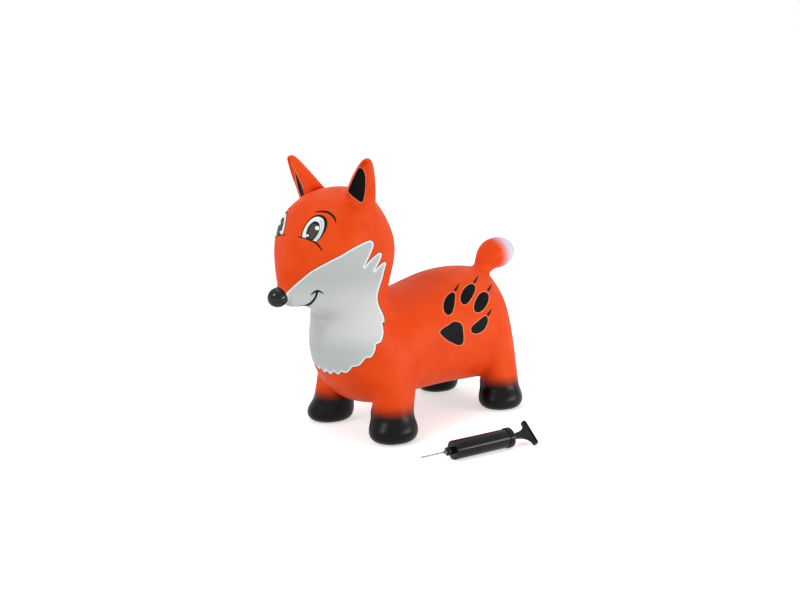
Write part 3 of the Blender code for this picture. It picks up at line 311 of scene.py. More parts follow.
# Soft folds pressed into the form: under the jaw and round the foot of the ear. Each has its line,
# its depth and its breadth, how far from its start it fades out, how far round the form it runs
# and the height above which it lies.
JAW_FOLD = ((304.0, 311.0, 0.0), (312.0, 312.5, 0.0), (321.0, 315.0, 0.0), (331.0, 316.8, 0.0),
            (342.0, 316.8, 0.0), (356.0, 314.0, 0.0))
EAR_FOLD = ((338.0, 191.5, 0.0), (342.5, 198.5, 0.0), (350.0, 204.0, 0.0), (359.0, 207.2, 0.0),
            (367.0, 207.6, 0.0), (373.0, 204.0, 0.0))
FOLDS = (
    (JAW_FOLD, 7.0 * MM, 6.0, 36.0, -0.6, 225.0 * MM),
    (EAR_FOLD, 3.0 * MM, 4.0, 60.0, 0.0, 395.0 * MM),
)

# Distance in millimetres at which a coat's distance is no longer measured
FAR_OFF = 14.0
OUTLINE_STEPS = 4
# Places that are worked on at once
BLOCK_SIZE = 400


def back(along_share, up_share):
    """Point of the back's mid-line, in shares of the trunk's half length and the back's height."""
    return Vector((0.0, along_share * TRUNK_HALF_LENGTH, up_share * BACK_HEIGHT))


def belly(along_share, up_share):
    """Point of the belly's mid-line, in shares of the trunk's half length and the belly's height."""
    return Vector((0.0, along_share * TRUNK_HALF_LENGTH, up_share * BELLY_HEIGHT))


def skull(along_share, up_share):
    """Point of the head's mid-line, counted from the skull's centre in shares of its radius."""
    return Vector((0.0, SKULL_Y + along_share * SKULL_RADIUS, SKULL_Z + up_share * SKULL_RADIUS))


def tube_rings():
    """Top point, bottom point, half width and width shares of each ring, from rump to nose."""
    trunk = TRUNK_HALF_WIDTH
    head = SKULL_HALF_WIDTH
    return (
        (back(0.95, 0.86), belly(0.98, 1.90), trunk * 0.55, ROUND_SHARES),
        (back(0.88, 0.935), belly(0.95, 1.30), trunk * 0.83, RUMP_SHARES),
        (back(0.74, 0.988), belly(0.78, 1.03), trunk * 0.97, RUMP_SHARES),
        (back(0.52, 1.006), belly(0.53, 0.84), trunk * 1.00, TRUNK_SHARES),
        (back(0.20, 0.997), belly(0.22, 0.95), trunk * 0.98, TRUNK_SHARES),
        (back(-0.13, 0.928), belly(-0.13, 0.98), trunk * 0.97, TRUNK_SHARES),
        (back(-0.41, 0.905), belly(-0.50, 0.97), trunk * 0.96, TRUNK_SHARES),
        (back(-0.58, 0.915), belly(-0.70, 0.88), trunk * 0.94, WITHERS_SHARES),
        (skull(0.66, -0.68), belly(-0.90, 1.04), trunk * 0.91, SHOULDER_SHARES),
        (skull(0.73, -0.46), belly(-1.09, 1.75), head * 0.93, CHEST_SHARES),
        (skull(0.90, -0.10), belly(-1.21, 2.75), head * 0.78, NECK_SHARES),
        (skull(0.90, 0.35), skull(-0.41, -1.30), head * 0.93, NAPE_SHARES),
        (skull(0.44, 0.98), skull(-0.66, -1.10), head * 1.01, SKULL_SHARES),
        (skull(0.00, 1.04), skull(-0.80, -1.01), head * 1.00, SKULL_SHARES),
        (skull(-0.44, 0.98), skull(-0.93, -0.99), head * 0.92, FACE_SHARES),
        (skull(-0.86, 0.76), skull(-1.03, -0.98), head * 0.74, BROW_SHARES),
        (skull(-1.06, 0.35), skull(-1.13, -0.97), head * 0.49, MUZZLE_SHARES),
        (skull(-1.20, -0.15), skull(-1.22, -0.94), head * 0.27, MUZZLE_SHARES),
    )


def half_ring(top, bottom, half_width, shares):
    """Half of a closed ring: points from the top round the left side to the bottom."""
    centre = (top + bottom) / 2.0
    count = len(shares) - 1
    points = []
    for index, share in enumerate(shares):
        down_share = (1.0 - math.cos(math.pi * index / count)) / 2.0
        point = top.lerp(bottom, down_share)
        point.x = half_width * share
        points.append(centre + (point - centre) / RING_12_SHARE)
    return points


def bridge(cage, first, second, closed):
    """Quads between two rows of as many vertices."""
    count = len(first)
    for index in range(count if closed else count - 1):
        after = (index + 1) % count
        cage.faces.new((first[index], first[after], second[after], second[index]))


def close_half_disc(cage, ring, pole):
    """Three quads from a seven-point half ring to the pole on the mid-plane."""
    for first, second, third in ((0, 1, 2), (2, 3, 4), (4, 5, 6)):
        cage.faces.new((ring[first], ring[second], ring[third], pole))


def grow(cage, start, rings, closed):
    """Carries a limb on from its opening through rings of points, and returns its rows of vertices."""
    rows = [start]
    for points in rings:
        row = [cage.verts.new(point) for point in points]
        bridge(cage, rows[-1], row, closed)
        rows.append(row)
    return rows


def opening_edge(rows, ring_numbers, columns):
    """Vertices round a rectangular opening in the tube, from its rear upper corner forwards."""
    rear, front = ring_numbers[0], ring_numbers[-1]
    upper, lower = columns[0], columns[-1]
    edge = [rows[number][upper] for number in ring_numbers]
    edge += [rows[front][column] for column in columns[1:]]
    edge += [rows[number][lower] for number in reversed(ring_numbers[:-1])]
    edge += [rows[rear][column] for column in reversed(columns[1:-1])]
    return edge


def add_leg(cage, rows, ring_numbers, centre_y):
    """One left leg with its hoof, closed under its sole."""
    splay = STANCE_HALF_WIDTH - HIP_HALF_WIDTH
    # Height, radius, share of the splay and share of the toe
    leg_rows = (
        (1.04 * HOOF_HEIGHT, 1.00 * LEG_RADIUS, 0.15, 0.0),
        (0.78 * HOOF_HEIGHT, 0.98 * LEG_RADIUS, 0.55, 0.2),
        (0.48 * HOOF_HEIGHT, 1.02 * HOOF_RADIUS, 0.95, 0.9),
        (0.20 * HOOF_HEIGHT, 1.00 * HOOF_RADIUS, 1.0, 1.0),
        (-SOLE_CUT, 0.72 * HOOF_RADIUS, 1.0, 0.6),
    )
    rings = []
    for height, radius, splay_share, toe_share in leg_rows:
        points = []
        for index in range(LEG_SIDES):
            angle = math.tau / LEG_SIDES * (1 - index)
            reach = radius / RING_8_SHARE
            x = HIP_HALF_WIDTH + splay * splay_share + reach * math.cos(angle)
            y = centre_y + reach * math.sin(angle)
            y += toe_share * TOE_LENGTH * min(0.0, math.sin(angle))
            points.append(Vector((x, y, height)))
        rings.append(points)
    last = grow(cage, opening_edge(rows, ring_numbers, LEG_COLUMNS), rings, True)[-1]
    cage.faces.new(last)


def tail_point(back_share, up_share):
    """Point of the tail's mid-line, counted from its root in shares of its length."""
    return TAIL_ROOT + Vector((0.0, back_share * TAIL_LENGTH, up_share * TAIL_LENGTH))


def add_tail(cage, rows):
    """Egg-shaped tail on a narrow root at the rump's upper edge: half rings, open on the mid-plane."""
    upper, side = TAIL_COLUMNS
    rear, middle, front = TAIL_RINGS
    corners = ((front, upper), (front, side), (middle, side), (rear, side), (rear, upper))
    edge = [rows[ring][column] for ring, column in corners]
    # Ways back and up from the root as shares of the length, tilt of the ring in degrees and radius
    tail_rows = (
        (0.00, 0.00, 48.0, 1.30 * TAIL_ROOT_RADIUS),
        (0.07, 0.10, 50.0, 1.08 * TAIL_ROOT_RADIUS),
        (0.21, 0.26, 42.0, 0.78 * TAIL_BULB_RADIUS),
        (0.43, 0.37, 20.0, 1.00 * TAIL_BULB_RADIUS),
        (0.71, 0.39, 0.0, 0.88 * TAIL_BULB_RADIUS),
        (0.91, 0.36, -8.0, 0.48 * TAIL_BULB_RADIUS),
    )
    rings = []
    for back_share, up_share, tilt, radius in tail_rows:
        centre = tail_point(back_share, up_share)
        up = Vector((0.0, -math.sin(math.radians(tilt)), math.cos(math.radians(tilt))))
        reach = radius / RING_8_SHARE
        points = []
        for index in range(5):
            angle = math.pi * index / 4
            point = centre + up * (reach * math.cos(angle))
            point.x = 0.0 if index in (0, 4) else reach * math.sin(angle)
            points.append(point)
        rings.append(points)
    last = grow(cage, edge, rings, False)[-1]
    tip = cage.verts.new(tail_point(*TAIL_TIP_SHARES))
    cage.faces.new((last[0], last[1], last[2], tip))
    cage.faces.new((tip, last[2], last[3], last[4]))


def ear_directions():
    """The along, outward and rearward directions of the left ear."""
    along = Vector((math.sin(EAR_LEAN_OUT), -math.sin(EAR_LEAN_FORWARD), math.cos(EAR_LEAN_OUT)))
    along.normalize()
    facing = Vector((math.sin(EAR_TURN_OUT), -math.cos(EAR_TURN_OUT), 0.0))
    rearward = -(facing - along * facing.dot(along)).normalized()
    return along, rearward.cross(along), rearward


def add_ear(cage, rows):
    """Pointed left ear whose front is a rimmed hollow."""
    edge = opening_edge(rows, EAR_RINGS, EAR_COLUMNS)
    along, outward, rearward = ear_directions()
    # Rear inner, inner, front inner, front outer, outer and rear outer corners, as the opening runs
    corner_turns = (120.0, 180.0, 240.0, 300.0, 0.0, 60.0)
    rings = []
    for (share, width_share), depth_share in zip(EAR_WIDTHS, EAR_DEPTH_SHARES):
        centre = EAR_BASE + along * (share * EAR_LENGTH)
        points = []
        for turn in corner_turns:
            sideways = outward * (math.cos(math.radians(turn)) * width_share * EAR_HALF_WIDTH)
            depthways = rearward * (math.sin(math.radians(turn)) * depth_share * EAR_HALF_DEPTH)
            points.append(centre + (sideways + depthways) / RING_6_SHARE)
        rings.append(points)
    ear_rows = grow(cage, edge, rings, True)
    last = ear_rows[-1]
    cage.faces.new((last[0], last[1], last[4], last[5]))
    cage.faces.new((last[1], last[2], last[3], last[4]))
    for vertex in (last[1], last[4]):
        vertex.co += along * (EAR_TIP_SHARE * EAR_LENGTH)
    front_corners = slice(2, 4)
    panel = []
    for lower, upper in zip(ear_rows[1:], ear_rows[2:]):
        corners = set(lower[front_corners] + upper[front_corners])
        panel += [face for face in lower[front_corners][0].link_faces if corners == set(face.verts)]
    bmesh.ops.inset_region(cage, faces=panel, thickness=EAR_RIM, use_even_offset=True)
    for vertex in {vertex for face in panel for vertex in face.verts}:
        vertex.co += rearward * EAR_HOLLOW_DEPTH


def nose_direction():
    """The way the muzzle points, forwards and a little down."""
    return Vector((0.0, -math.cos(MUZZLE_DROP), -math.sin(MUZZLE_DROP)))


def nose_rings():
    """Half rings of the nose ball, from its narrow root forwards."""
    along = nose_direction()
    up = Vector((0.0, along.z, -along.y))
    # Place along the ball's axis from its centre and radius, in shares of the ball's radius
    row_shares = ((-0.82, 0.78), (-0.28, 1.00), (0.35, 0.97), (0.86, 0.52))
    rings = []
    for place, radius in row_shares:
        centre = NOSE_CENTRE + along * (place * NOSE_RADIUS)
        reach = up * (radius * NOSE_RADIUS)
        rings.append(half_ring(centre + reach, centre - reach, reach.length, ROUND_SHARES))
    return rings


def fox_cage(name):
    """Half cage of the fox, open on the mid-plane, as a mesh."""
    cage = bmesh.new()
    rows = [[cage.verts.new(point) for point in half_ring(*ring)] for ring in tube_rings()]
    rows += [[cage.verts.new(point) for point in points] for points in nose_rings()]
    openings = ((TAIL_RINGS, TAIL_COLUMNS), (REAR_LEG_RINGS, LEG_COLUMNS),
                (FRONT_LEG_RINGS, LEG_COLUMNS), (EAR_RINGS, EAR_COLUMNS))
    skipped = {(ring, column) for rings, columns in openings
               for ring in rings[:-1] for column in columns[:-1]}
    for ring in range(len(rows) - 1):
        for column in range(len(rows[ring]) - 1):
            if (ring, column) in skipped:
                continue
            first, second = rows[ring], rows[ring + 1]
            cage.faces.new((first[column], first[column + 1], second[column + 1], second[column]))
    close_half_disc(cage, rows[0], cage.verts.new(back(1.0, RUMP_POLE_SHARE)))
    nose_tip = cage.verts.new(NOSE_CENTRE + nose_direction() * (NOSE_TIP_SHARE * NOSE_RADIUS))
    close_half_disc(cage, rows[-1], nose_tip)
    add_leg(cage, rows, REAR_LEG_RINGS, REAR_FEET_Y)
    add_leg(cage, rows, FRONT_LEG_RINGS, FRONT_FEET_Y)
    add_tail(cage, rows)
    add_ear(cage, rows)
    loose = [vertex for vertex in cage.verts if not vertex.link_faces]
    bmesh.ops.delete(cage, geom=loose, context="VERTS")
    bmesh.ops.recalc_face_normals(cage, faces=cage.faces)
    mesh = bpy.data.meshes.new(name)
    cage.to_mesh(mesh)
    cage.free()
    return mesh


# Paint on the skin


def smooth_outline(points, closed):
    """Smooth line through points, as rows. A point given twice makes a corner."""
    rows = np.array(points, float)
    count = len(rows)
    line = []
    for index in range(count if closed else count - 1):
        picks = np.arange(index - 1, index + 3)
        picks = picks % count if closed else picks.clip(0, count - 1)
        before, start, end, after = rows[picks]
        if np.allclose(start, end):
            continue
        for step in range(OUTLINE_STEPS):
            t = step / OUTLINE_STEPS
            line.append(0.5 * (2.0 * start + (end - before) * t
                               + (2.0 * before - 5.0 * start + 4.0 * end - after) * t ** 2
                               + (3.0 * start - before - 3.0 * end + after) * t ** 3))
    if not closed:
        line.append(rows[-1])
    return np.array(line)


def blocks(places):
    """Places in blocks that are small enough to work on at once."""
    return np.array_split(places, len(places) // BLOCK_SIZE + 1)


def within_reach(places, line):
    """Which places are near enough to a line for its distance to be measured."""
    reach = FAR_OFF / UNIT_MM
    return np.all((places > line.min(0) - reach) & (places < line.max(0) + reach), axis=1)


def nearest_on(spots, start, run):
    """Distance of each spot to each stretch of a line, and how far along the stretch that is."""
    away_x = spots[:, 0, None] - start[:, 0]
    away_y = spots[:, 1, None] - start[:, 1]
    length = np.maximum((run * run).sum(1), TINY)
    share = np.clip((away_x * run[:, 0] + away_y * run[:, 1]) / length, 0.0, 1.0)
    return np.hypot(away_x - share * run[:, 0], away_y - share * run[:, 1]), share


def outline_distance(places, outline):
    """Signed distance in millimetres from places to a closed outline, below zero inside."""
    line = smooth_outline(outline, True)
    result = np.full(len(places), FAR_OFF)
    near = within_reach(places, line)
    start, end = line, np.roll(line, -1, axis=0)
    run = end - start
    slope = np.where(run[:, 1] == 0.0, TINY, run[:, 1])
    found = []
    for spots in blocks(places[near]):
        gap = nearest_on(spots, start, run)[0]
        height = spots[:, None, 1]
        crosses = (start[None, :, 1] > height) != (end[None, :, 1] > height)
        across = start[None, :, 0] + (height - start[None, :, 1]) * run[None, :, 0] / slope
        inside = (crosses & (spots[:, None, 0] < across)).sum(1) % 2 == 1
        found.append(np.where(inside, -1.0, 1.0) * gap.min(1))
    result[near] = np.concatenate(found) * UNIT_MM
    return result


def line_distance(places, points):
    """Signed distance in millimetres to a brush line whose breadth changes, below zero on it."""
    line = smooth_outline(points, False)
    result = np.full(len(places), FAR_OFF)
    near = within_reach(places, line[:, :2])
    start, end = line[:-1], line[1:]
    run = end - start
    found = []
    for spots in blocks(places[near]):
        gap, share = nearest_on(spots, start[:, :2], run[:, :2])
        found.append((gap - start[:, 2] - share * run[:, 2]).min(1))
    result[near] = (np.concatenate(found) - BRUSH_SPREAD) * UNIT_MM
    return result


def seen_from_left_front(points):
    """Places in picture units at which points are seen."""
    ahead = np.array((-math.sin(VIEW_TURN), math.cos(VIEW_TURN), 0.0))
    across = np.array((math.cos(VIEW_TURN), math.sin(VIEW_TURN), 0.0))
    upright = np.array((0.0, 0.0, 1.0))
    into = ahead * math.cos(VIEW_PITCH) - upright * math.sin(VIEW_PITCH)
    up = ahead * math.sin(VIEW_PITCH) + upright * math.cos(VIEW_PITCH)
    offset = points - np.array(VIEW_PLACE)
    depth = offset @ into
    return np.stack([VIEW_CENTRE[0] + VIEW_REACH * (offset @ across) / depth,
                     VIEW_CENTRE[1] - VIEW_REACH * (offset @ up) / depth], axis=1)


def folded_left(points, normals):
    """Points as if all were on the left, and how far their normals face the paint's view, up to 1."""
    sides = np.where(points[:, :1] < 0.0, (-1.0, 1.0, 1.0), (1.0, 1.0, 1.0))
    left, turned_left = points * sides, normals * sides
    facing = turned_left[:, 0] * math.sin(VIEW_TURN) - turned_left[:, 1] * math.cos(VIEW_TURN)
    return left, facing


def press_folds(shape):
    """Presses the soft folds into the smooth form."""
    points = np.array([vertex.co for vertex in shape.verts])
    normals = np.array([vertex.normal for vertex in shape.verts])
    left, facing = folded_left(points, normals)
    seen = seen_from_left_front(left)
    push = np.zeros(len(points))
    for line, depth, breadth, fade, least_facing, lowest in FOLDS:
        along = np.hypot(seen[:, 0] - line[0][0], seen[:, 1] - line[0][1]) / fade
        away = np.hypot(line_distance(seen, line) / breadth, along)
        here = (facing > least_facing) & (points[:, 2] > lowest) & (points[:, 1] < 0.0)
        push += np.where(here, depth * np.exp(-away * away), 0.0)
    for vertex, normal, distance in zip(shape.verts, normals, push):
        if distance > MERGE_DISTANCE:
            vertex.co -= Vector(normal) * distance


# Where coats end besides at their outlines. Distances back and up are in millimetres in the fox's
# own frame, and a facing is how far a normal points to the paint's view, up to 1. A facing that is 1
# short counts as this many millimetres past the edge.
TURN_MM = 60.0
FACE_LEAST_FACING = 0.05
FACE_REAR_MM = -195.0
FLANK_FRONT_MM = -80.0
FRONT_LEAST_FACING = -0.35
FRONT_REAR_MM = -85.0
CHEEK_LEAST_FACING = 0.2
CHEEK_REAR_MM = -165.0
EAR_PAINT_FOOT_MM = 405.0
EAR_PAINT_REAR_MM = 4.0
EAR_PAINT_WIDTH_SHARE = 0.68
NOSE_PAINT_SHARE = 1.06


def paint_fields(points, normals):
    """Signed distances in millimetres to each coat of paint, for points of the fox in its own frame.

    The right half takes the left half's paint. A coat is kept to the part of the body that it lies
    on, and off faces that are turned away from where its outline is laid on.
    """
    left, facing = folded_left(points, normals)
    seen = seen_from_left_front(left)
    depth_mm = points[:, 1] / MM
    height_mm = points[:, 2] / MM
    away = (FACE_LEAST_FACING - facing) * TURN_MM
    on_face = np.maximum(away, depth_mm - FACE_REAR_MM)
    up_ear, out_of_ear, behind_ear = ((left - np.array(EAR_BASE)) @ np.array(ear_directions()).T / MM).T
    ear_width = np.interp(up_ear * MM / EAR_LENGTH, *zip(*EAR_WIDTHS)) * EAR_HALF_WIDTH / MM
    on_ears = np.maximum(behind_ear - EAR_PAINT_REAR_MM, -EAR_PAINT_WIDTH_SHARE * ear_width - out_of_ear)
    on_ears = np.maximum(on_ears, EAR_PAINT_FOOT_MM - height_mm)
    on_flank = np.maximum(away, FLANK_FRONT_MM - depth_mm)
    on_front = np.maximum((FRONT_LEAST_FACING - facing) * TURN_MM, depth_mm - FRONT_REAR_MM)
    past_cheek = np.minimum((CHEEK_LEAST_FACING - facing) * TURN_MM, depth_mm - CHEEK_REAR_MM)
    on_front = np.maximum(on_front, past_cheek)
    on_eyes = {name: np.maximum(outline_distance(seen, outline), on_face)
               for name, outline in EYE_OUTLINES}
    prints = [outline_distance(seen, shape) for shape in PAW_SHAPES]
    claws = [line_distance(seen, claw) for claw in CLAWS]
    ball = np.linalg.norm(left - np.array(NOSE_CENTRE), axis=1) / MM - NOSE_PAINT_SHARE * NOSE_RADIUS / MM
    lines = [line_distance(seen, line) for line in BRUSH_LINES]
    glints = [(np.hypot(seen[:, 0] - x, seen[:, 1] - y) - radius) * UNIT_MM for x, y, radius in GLINTS]
    return {
        "bib": np.maximum(outline_distance(seen, BIB), on_front),
        **on_eyes,
        "glints": np.maximum(np.minimum.reduce(glints), on_face),
        "brush_lines": np.maximum(np.minimum.reduce(lines), on_face),
        "paw_print": np.maximum(np.minimum.reduce(prints), on_flank),
        "claws": np.maximum(np.minimum.reduce(claws), on_flank),
        "ear_panel": np.maximum(outline_distance(seen, EAR_PANEL), on_ears),
        "nose": ball,
    }


# Coats whose edges get the finest mesh
FINE_COATS = ("eye_white", "iris", "glints", "brush_lines")
REFINING_ROUNDS = 4
# How near to an edge of the paint a face is quartered, in shares of its longest edge
REFINING_REACH = 0.7
# Below this upward share a face's normal counts as a wall's
WALL_NORMAL_Z = 0.3


def coordinates(shape):
    """Places and normals of a mesh's vertices as arrays."""
    places = np.array([vertex.co for vertex in shape.verts])
    even = shape.verts.layers.float_vector["even_normal"]
    normals = np.array([vertex[even] for vertex in shape.verts])
    normals /= np.maximum(np.linalg.norm(normals, axis=1), TINY)[:, None]
    return places, normals


def near_valve(places, valve_face):
    """Which places lie on the valve's boss or close round it."""
    near = np.hypot(places[:, 0], places[:, 1] - VALVE_Y) < BOSS_RADIUS + 2.0 * BOSS_BLEND
    return near & (places[:, 2] < 2.0 * valve_face)


def refine(shape, coarse_edge, fine_edge, valve_face):
    """Quarters the faces near the edges of the paint and round the valve until their edges are short."""
    for _ in range(REFINING_ROUNDS):
        places, normals = coordinates(shape)
        fields = paint_fields(places, normals)
        nearest = np.minimum.reduce([np.abs(field) for field in fields.values()])
        finest = np.minimum.reduce([np.abs(fields[name]) for name in FINE_COATS])
        nearest[near_valve(places, valve_face)] = 0.0
        shape.verts.index_update()
        chosen = set()
        for face in shape.faces:
            longest = max(edge.calc_length() for edge in face.edges)
            if longest < fine_edge:
                continue
            numbers = [vertex.index for vertex in face.verts]
            wanted = finest if longest < coarse_edge else nearest
            if min(wanted[number] for number in numbers) < REFINING_REACH * longest / MM:
                chosen.update(face.edges)
        if not chosen:
            return
        bmesh.ops.subdivide_edges(shape, edges=list(chosen), cuts=1, use_grid_fill=True)
        many_sided = [face for face in shape.faces if len(face.verts) > 4]
        bmesh.ops.triangulate(shape, faces=many_sided)


def shape_valve_boss(shape, valve_face):
    """Presses a round flat boss into the belly, and opens it with a blind bore for the grommet."""
    centre = Vector((0.0, VALVE_Y, 0.0))
    for vertex in shape.verts:
        if vertex.co.z > 2.0 * valve_face:
            continue
        away = math.hypot(vertex.co.x, vertex.co.y - VALVE_Y)
        share = min(max((BOSS_RADIUS + BOSS_BLEND - away) / BOSS_BLEND, 0.0), 1.0)
        share = share * share * (3.0 - 2.0 * share)
        vertex.co.z += (valve_face - vertex.co.z) * share
    low = [face for face in shape.faces if face.calc_center_median().z < 2.0 * valve_face]
    covered = [face for face in low
               if (face.calc_center_median().xy - centre.xy).length < VALVE_BORE_RADIUS]
    bmesh.ops.delete(shape, geom=covered, context="FACES")
    rim = [edge for edge in shape.edges if edge.is_boundary]
    for vertex in {vertex for edge in rim for vertex in edge.verts}:
        outward = (vertex.co - centre).xy.normalized() * VALVE_BORE_RADIUS
        vertex.co.x, vertex.co.y = outward.x, VALVE_Y + outward.y
    drawn = bmesh.ops.extrude_edge_only(shape, edges=rim)["geom"]
    upper = [item for item in drawn if isinstance(item, bmesh.types.BMVert)]
    for vertex in upper:
        vertex.co.z += VALVE_BORE_LENGTH
    loop = [edge for edge in shape.edges if edge.is_boundary]
    bmesh.ops.contextual_create(shape, geom=loop)


def cut_soles(shape):
    """Cuts the feet flat at the floor."""
    parts = list(shape.verts) + list(shape.edges) + list(shape.faces)
    bmesh.ops.bisect_plane(shape, geom=parts, dist=MERGE_DISTANCE, plane_co=(0.0, 0.0, 0.0),
                           plane_no=(0.0, 0.0, 1.0), clear_inner=True)
    rim = [edge for edge in shape.edges if edge.is_boundary]
    bmesh.ops.holes_fill(shape, edges=rim)


def fox_surface(levels, coarse_edge, fine_edge, valve_face):
    """Fine painted surface of the fox in its own frame, as a mesh."""
    holder = add_object("fox_cage", fox_cage("fox_cage"))
    mirror = holder.modifiers.new("other_half", "MIRROR")
    mirror.use_clip = True
    mirror.merge_threshold = MERGE_DISTANCE
    smooth = holder.modifiers.new("smooth_form", "SUBSURF")
    smooth.levels = levels
    smooth.render_levels = levels
    mesh = finished_mesh(holder)
    shape = bmesh.new()
    shape.from_mesh(mesh)
    bmesh.ops.recalc_face_normals(shape, faces=shape.faces)
    shape.normal_update()
    press_folds(shape)
    shape.normal_update()
    even = shape.verts.layers.float_vector.new("even_normal")
    for vertex in shape.verts:
        vertex[even] = vertex.normal
    cut_soles(shape)
    refine(shape, coarse_edge, fine_edge, valve_face)
    shape_valve_boss(shape, valve_face)
    places, normals = coordinates(shape)
    fields = paint_fields(places, normals)
    shape.to_mesh(mesh)
    shape.free()
    mesh.name = "fox_skin"
    tail_paint = np.array(tail_point(*TAIL_PAINT_SHARES))
    fields["tail_tip"] = np.linalg.norm(places - tail_paint, axis=1) / MM
    for name, values in fields.items():
        layer = mesh.attributes.new(name, "FLOAT", "POINT")
        layer.data.foreach_set("value", values.astype(np.float32))
    set_normals(mesh, places, normals, valve_face)
    return mesh


def set_normals(mesh, places, normals, valve_face):
    """Gives the skin the even normals of its smooth form, and flat ones on the soles and at the valve."""
    mesh.shade_smooth()
    corner_vertices = np.empty(len(mesh.loops), np.int32)
    mesh.loops.foreach_get("vertex_index", corner_vertices)
    corner_normals = normals[corner_vertices]
    at_valve = near_valve(places, valve_face)
    own = np.array([vertex.normal for vertex in mesh.vertices])
    for polygon in mesh.polygons:
        corners = list(polygon.loop_indices)
        vertices = corner_vertices[corners]
        if places[vertices, 2].max() < MERGE_DISTANCE:
            corner_normals[corners] = (0.0, 0.0, -1.0)
        elif at_valve[vertices].all():
            steep = abs(polygon.normal.z) < WALL_NORMAL_Z
            corner_normals[corners] = polygon.normal if steep else own[vertices]
    mesh.normals_split_custom_set(corner_normals.tolist())
    mesh.attributes.remove(mesh.attributes["even_normal"])


# Finishes


# Range that nearly all of a noise's values lie in
NOISE_SPREAD = (0.3, 0.7)


def add_node(tree, kind, inputs=None, **settings):
    """Adds a node with its settings, and gives its inputs values or links."""
    made = tree.nodes.new(kind)
    for name, value in settings.items():
        setattr(made, name, value)
    for key, value in (inputs or {}).items():
        if isinstance(value, bpy.types.NodeSocket):
            tree.links.new(value, made.inputs[key])
        else:
            made.inputs[key].default_value = value
    return made


def new_material(name, roughness, metallic=0.0):
    """Material with its tree, its Principled shader and the place on the piece."""
    material = bpy.data.materials.new(name)
    material.use_nodes = True
    tree = material.node_tree
    shader = tree.nodes["Principled BSDF"]
    shader.inputs["Roughness"].default_value = roughness
    shader.inputs["Metallic"].default_value = metallic
    place = add_node(tree, "ShaderNodeTexCoord").outputs["Object"]
    return material, tree, shader, place


def noise(tree, place, size, detail=2.0):
    """Noise whose lumps have a size, as a value from 0 to 1."""
    inputs = {"Vector": place, "Scale": 1.0 / size, "Detail": detail}
    return add_node(tree, "ShaderNodeTexNoise", inputs).outputs["Fac"]


def ramp(tree, value, low, high, low_value, high_value):
    """Value carried from one range to another and held at its ends."""
    inputs = {"Value": value, "From Min": low, "From Max": high, "To Min": low_value, "To Max": high_value}
    return add_node(tree, "ShaderNodeMapRange", inputs, interpolation_type="SMOOTHSTEP").outputs["Result"]


def mixed(tree, share, first, second):
    """Mix of two colours, which a mix node takes at its sockets 6 and 7 and gives at its socket 2."""
    return add_node(tree, "ShaderNodeMix", {0: share, 6: first, 7: second}, data_type="RGBA").outputs[2]


def worked_out(tree, operation, *values):
    """Result of a sum on values."""
    inputs = dict(enumerate(values))
    return add_node(tree, "ShaderNodeMath", inputs, operation=operation).outputs["Value"]


def mottle(tree, shader, pattern, spread, colours, roughness):
    """Lets a pattern carry a shader from one colour to another, and from one roughness to another."""
    colour = mixed(tree, ramp(tree, pattern, *spread, 0.0, 1.0), *colours)
    tree.links.new(colour, shader.inputs["Base Color"])
    tree.links.new(ramp(tree, pattern, *NOISE_SPREAD, *roughness), shader.inputs["Roughness"])


def bump(tree, shader, place, size, height, strength):
    """Gives a shader a bump whose lumps have a size and a height."""
    inputs = {"Height": noise(tree, place, size), "Distance": height, "Strength": strength}
    bumped = add_node(tree, "ShaderNodeBump", inputs).outputs["Normal"]
    tree.links.new(bumped, shader.inputs["Normal"])


def opaque(colour):
    """RGBA of a setting's colour."""
    return tuple(colour) + (1.0,)


def grey(level):
    """Grey that carries a single value through a mix of colours."""
    return (level, level, level, 1.0)


# Sizes of the pigment's clouds, the spray's specks, the patches of gloss and the orange peel
CLOUD_SIZE = 38.0 * MM
CLOUD_SPREAD = (0.35, 0.65)
SPECK_SIZE = 5.0 * MM
GLOSS_PATCH_SIZE = 14.0 * MM
PEEL_SIZE = 2.4 * MM
PEEL_HEIGHT = 0.05 * MM
# How far specks stray over the edge of free-hand spray, on the hooves and on the tail
HOOF_STRAY = 4.0 * MM
TAIL_STRAY_MM = 6.0
# Distances from the middle of the tail's paint that it fades between, in millimetres
TAIL_FADE_MM = (54.0, 83.0)
# Heights in the set's frame between which the bib's white is greyed by painted shade, up to the muzzle and
# down to its hem
MUZZLE_PAINTED_SHADE = (0.25, 0.31)
HEM_PAINTED_SHADE = (0.165, 0.205)
# Half the breadth over which a masked coat's edge fades, in millimetres
MASKED_FADE_MM = 0.35
# Coats in the order in which they go on: the field, the colour or None for the black, how far past
# its outline it reaches and half the breadth over which it fades, in millimetres
BIB_RIM = (("bib", "#7E2412", 1.25, 0.7), ("bib", "#F2F3F3", 0.0, 0.4))
BIB_REACH_MM = -2.8
BIB_FADE_MM = 2.2
COATS = (
    ("paw_print", "#F58A66", 1.3, 0.7), ("paw_print", None, 0.0, MASKED_FADE_MM),
    ("ear_panel", "#F58A66", 1.3, 0.7), ("ear_panel", None, 0.0, MASKED_FADE_MM),
    ("eye_white", "#F4F6F5", 0.0, MASKED_FADE_MM), ("eye_shade", "#CFDCE0", 0.0, 0.5),
    ("iris", None, 0.0, MASKED_FADE_MM), ("iris_glow", "#47473E", 0.0, 0.9),
    ("glints", "#FFFFFF", 0.0, MASKED_FADE_MM), ("claws", None, 0.0, MASKED_FADE_MM),
    ("brush_lines", None, 0.0, MASKED_FADE_MM), ("nose", None, 0.0, MASKED_FADE_MM),
)
# Roughness of the skin, from patch to patch, and of its glossier coats
SKIN_ROUGHNESS = (0.44, 0.52)
HOOF_ROUGHNESS = 0.32
NOSE_ROUGHNESS = 0.12
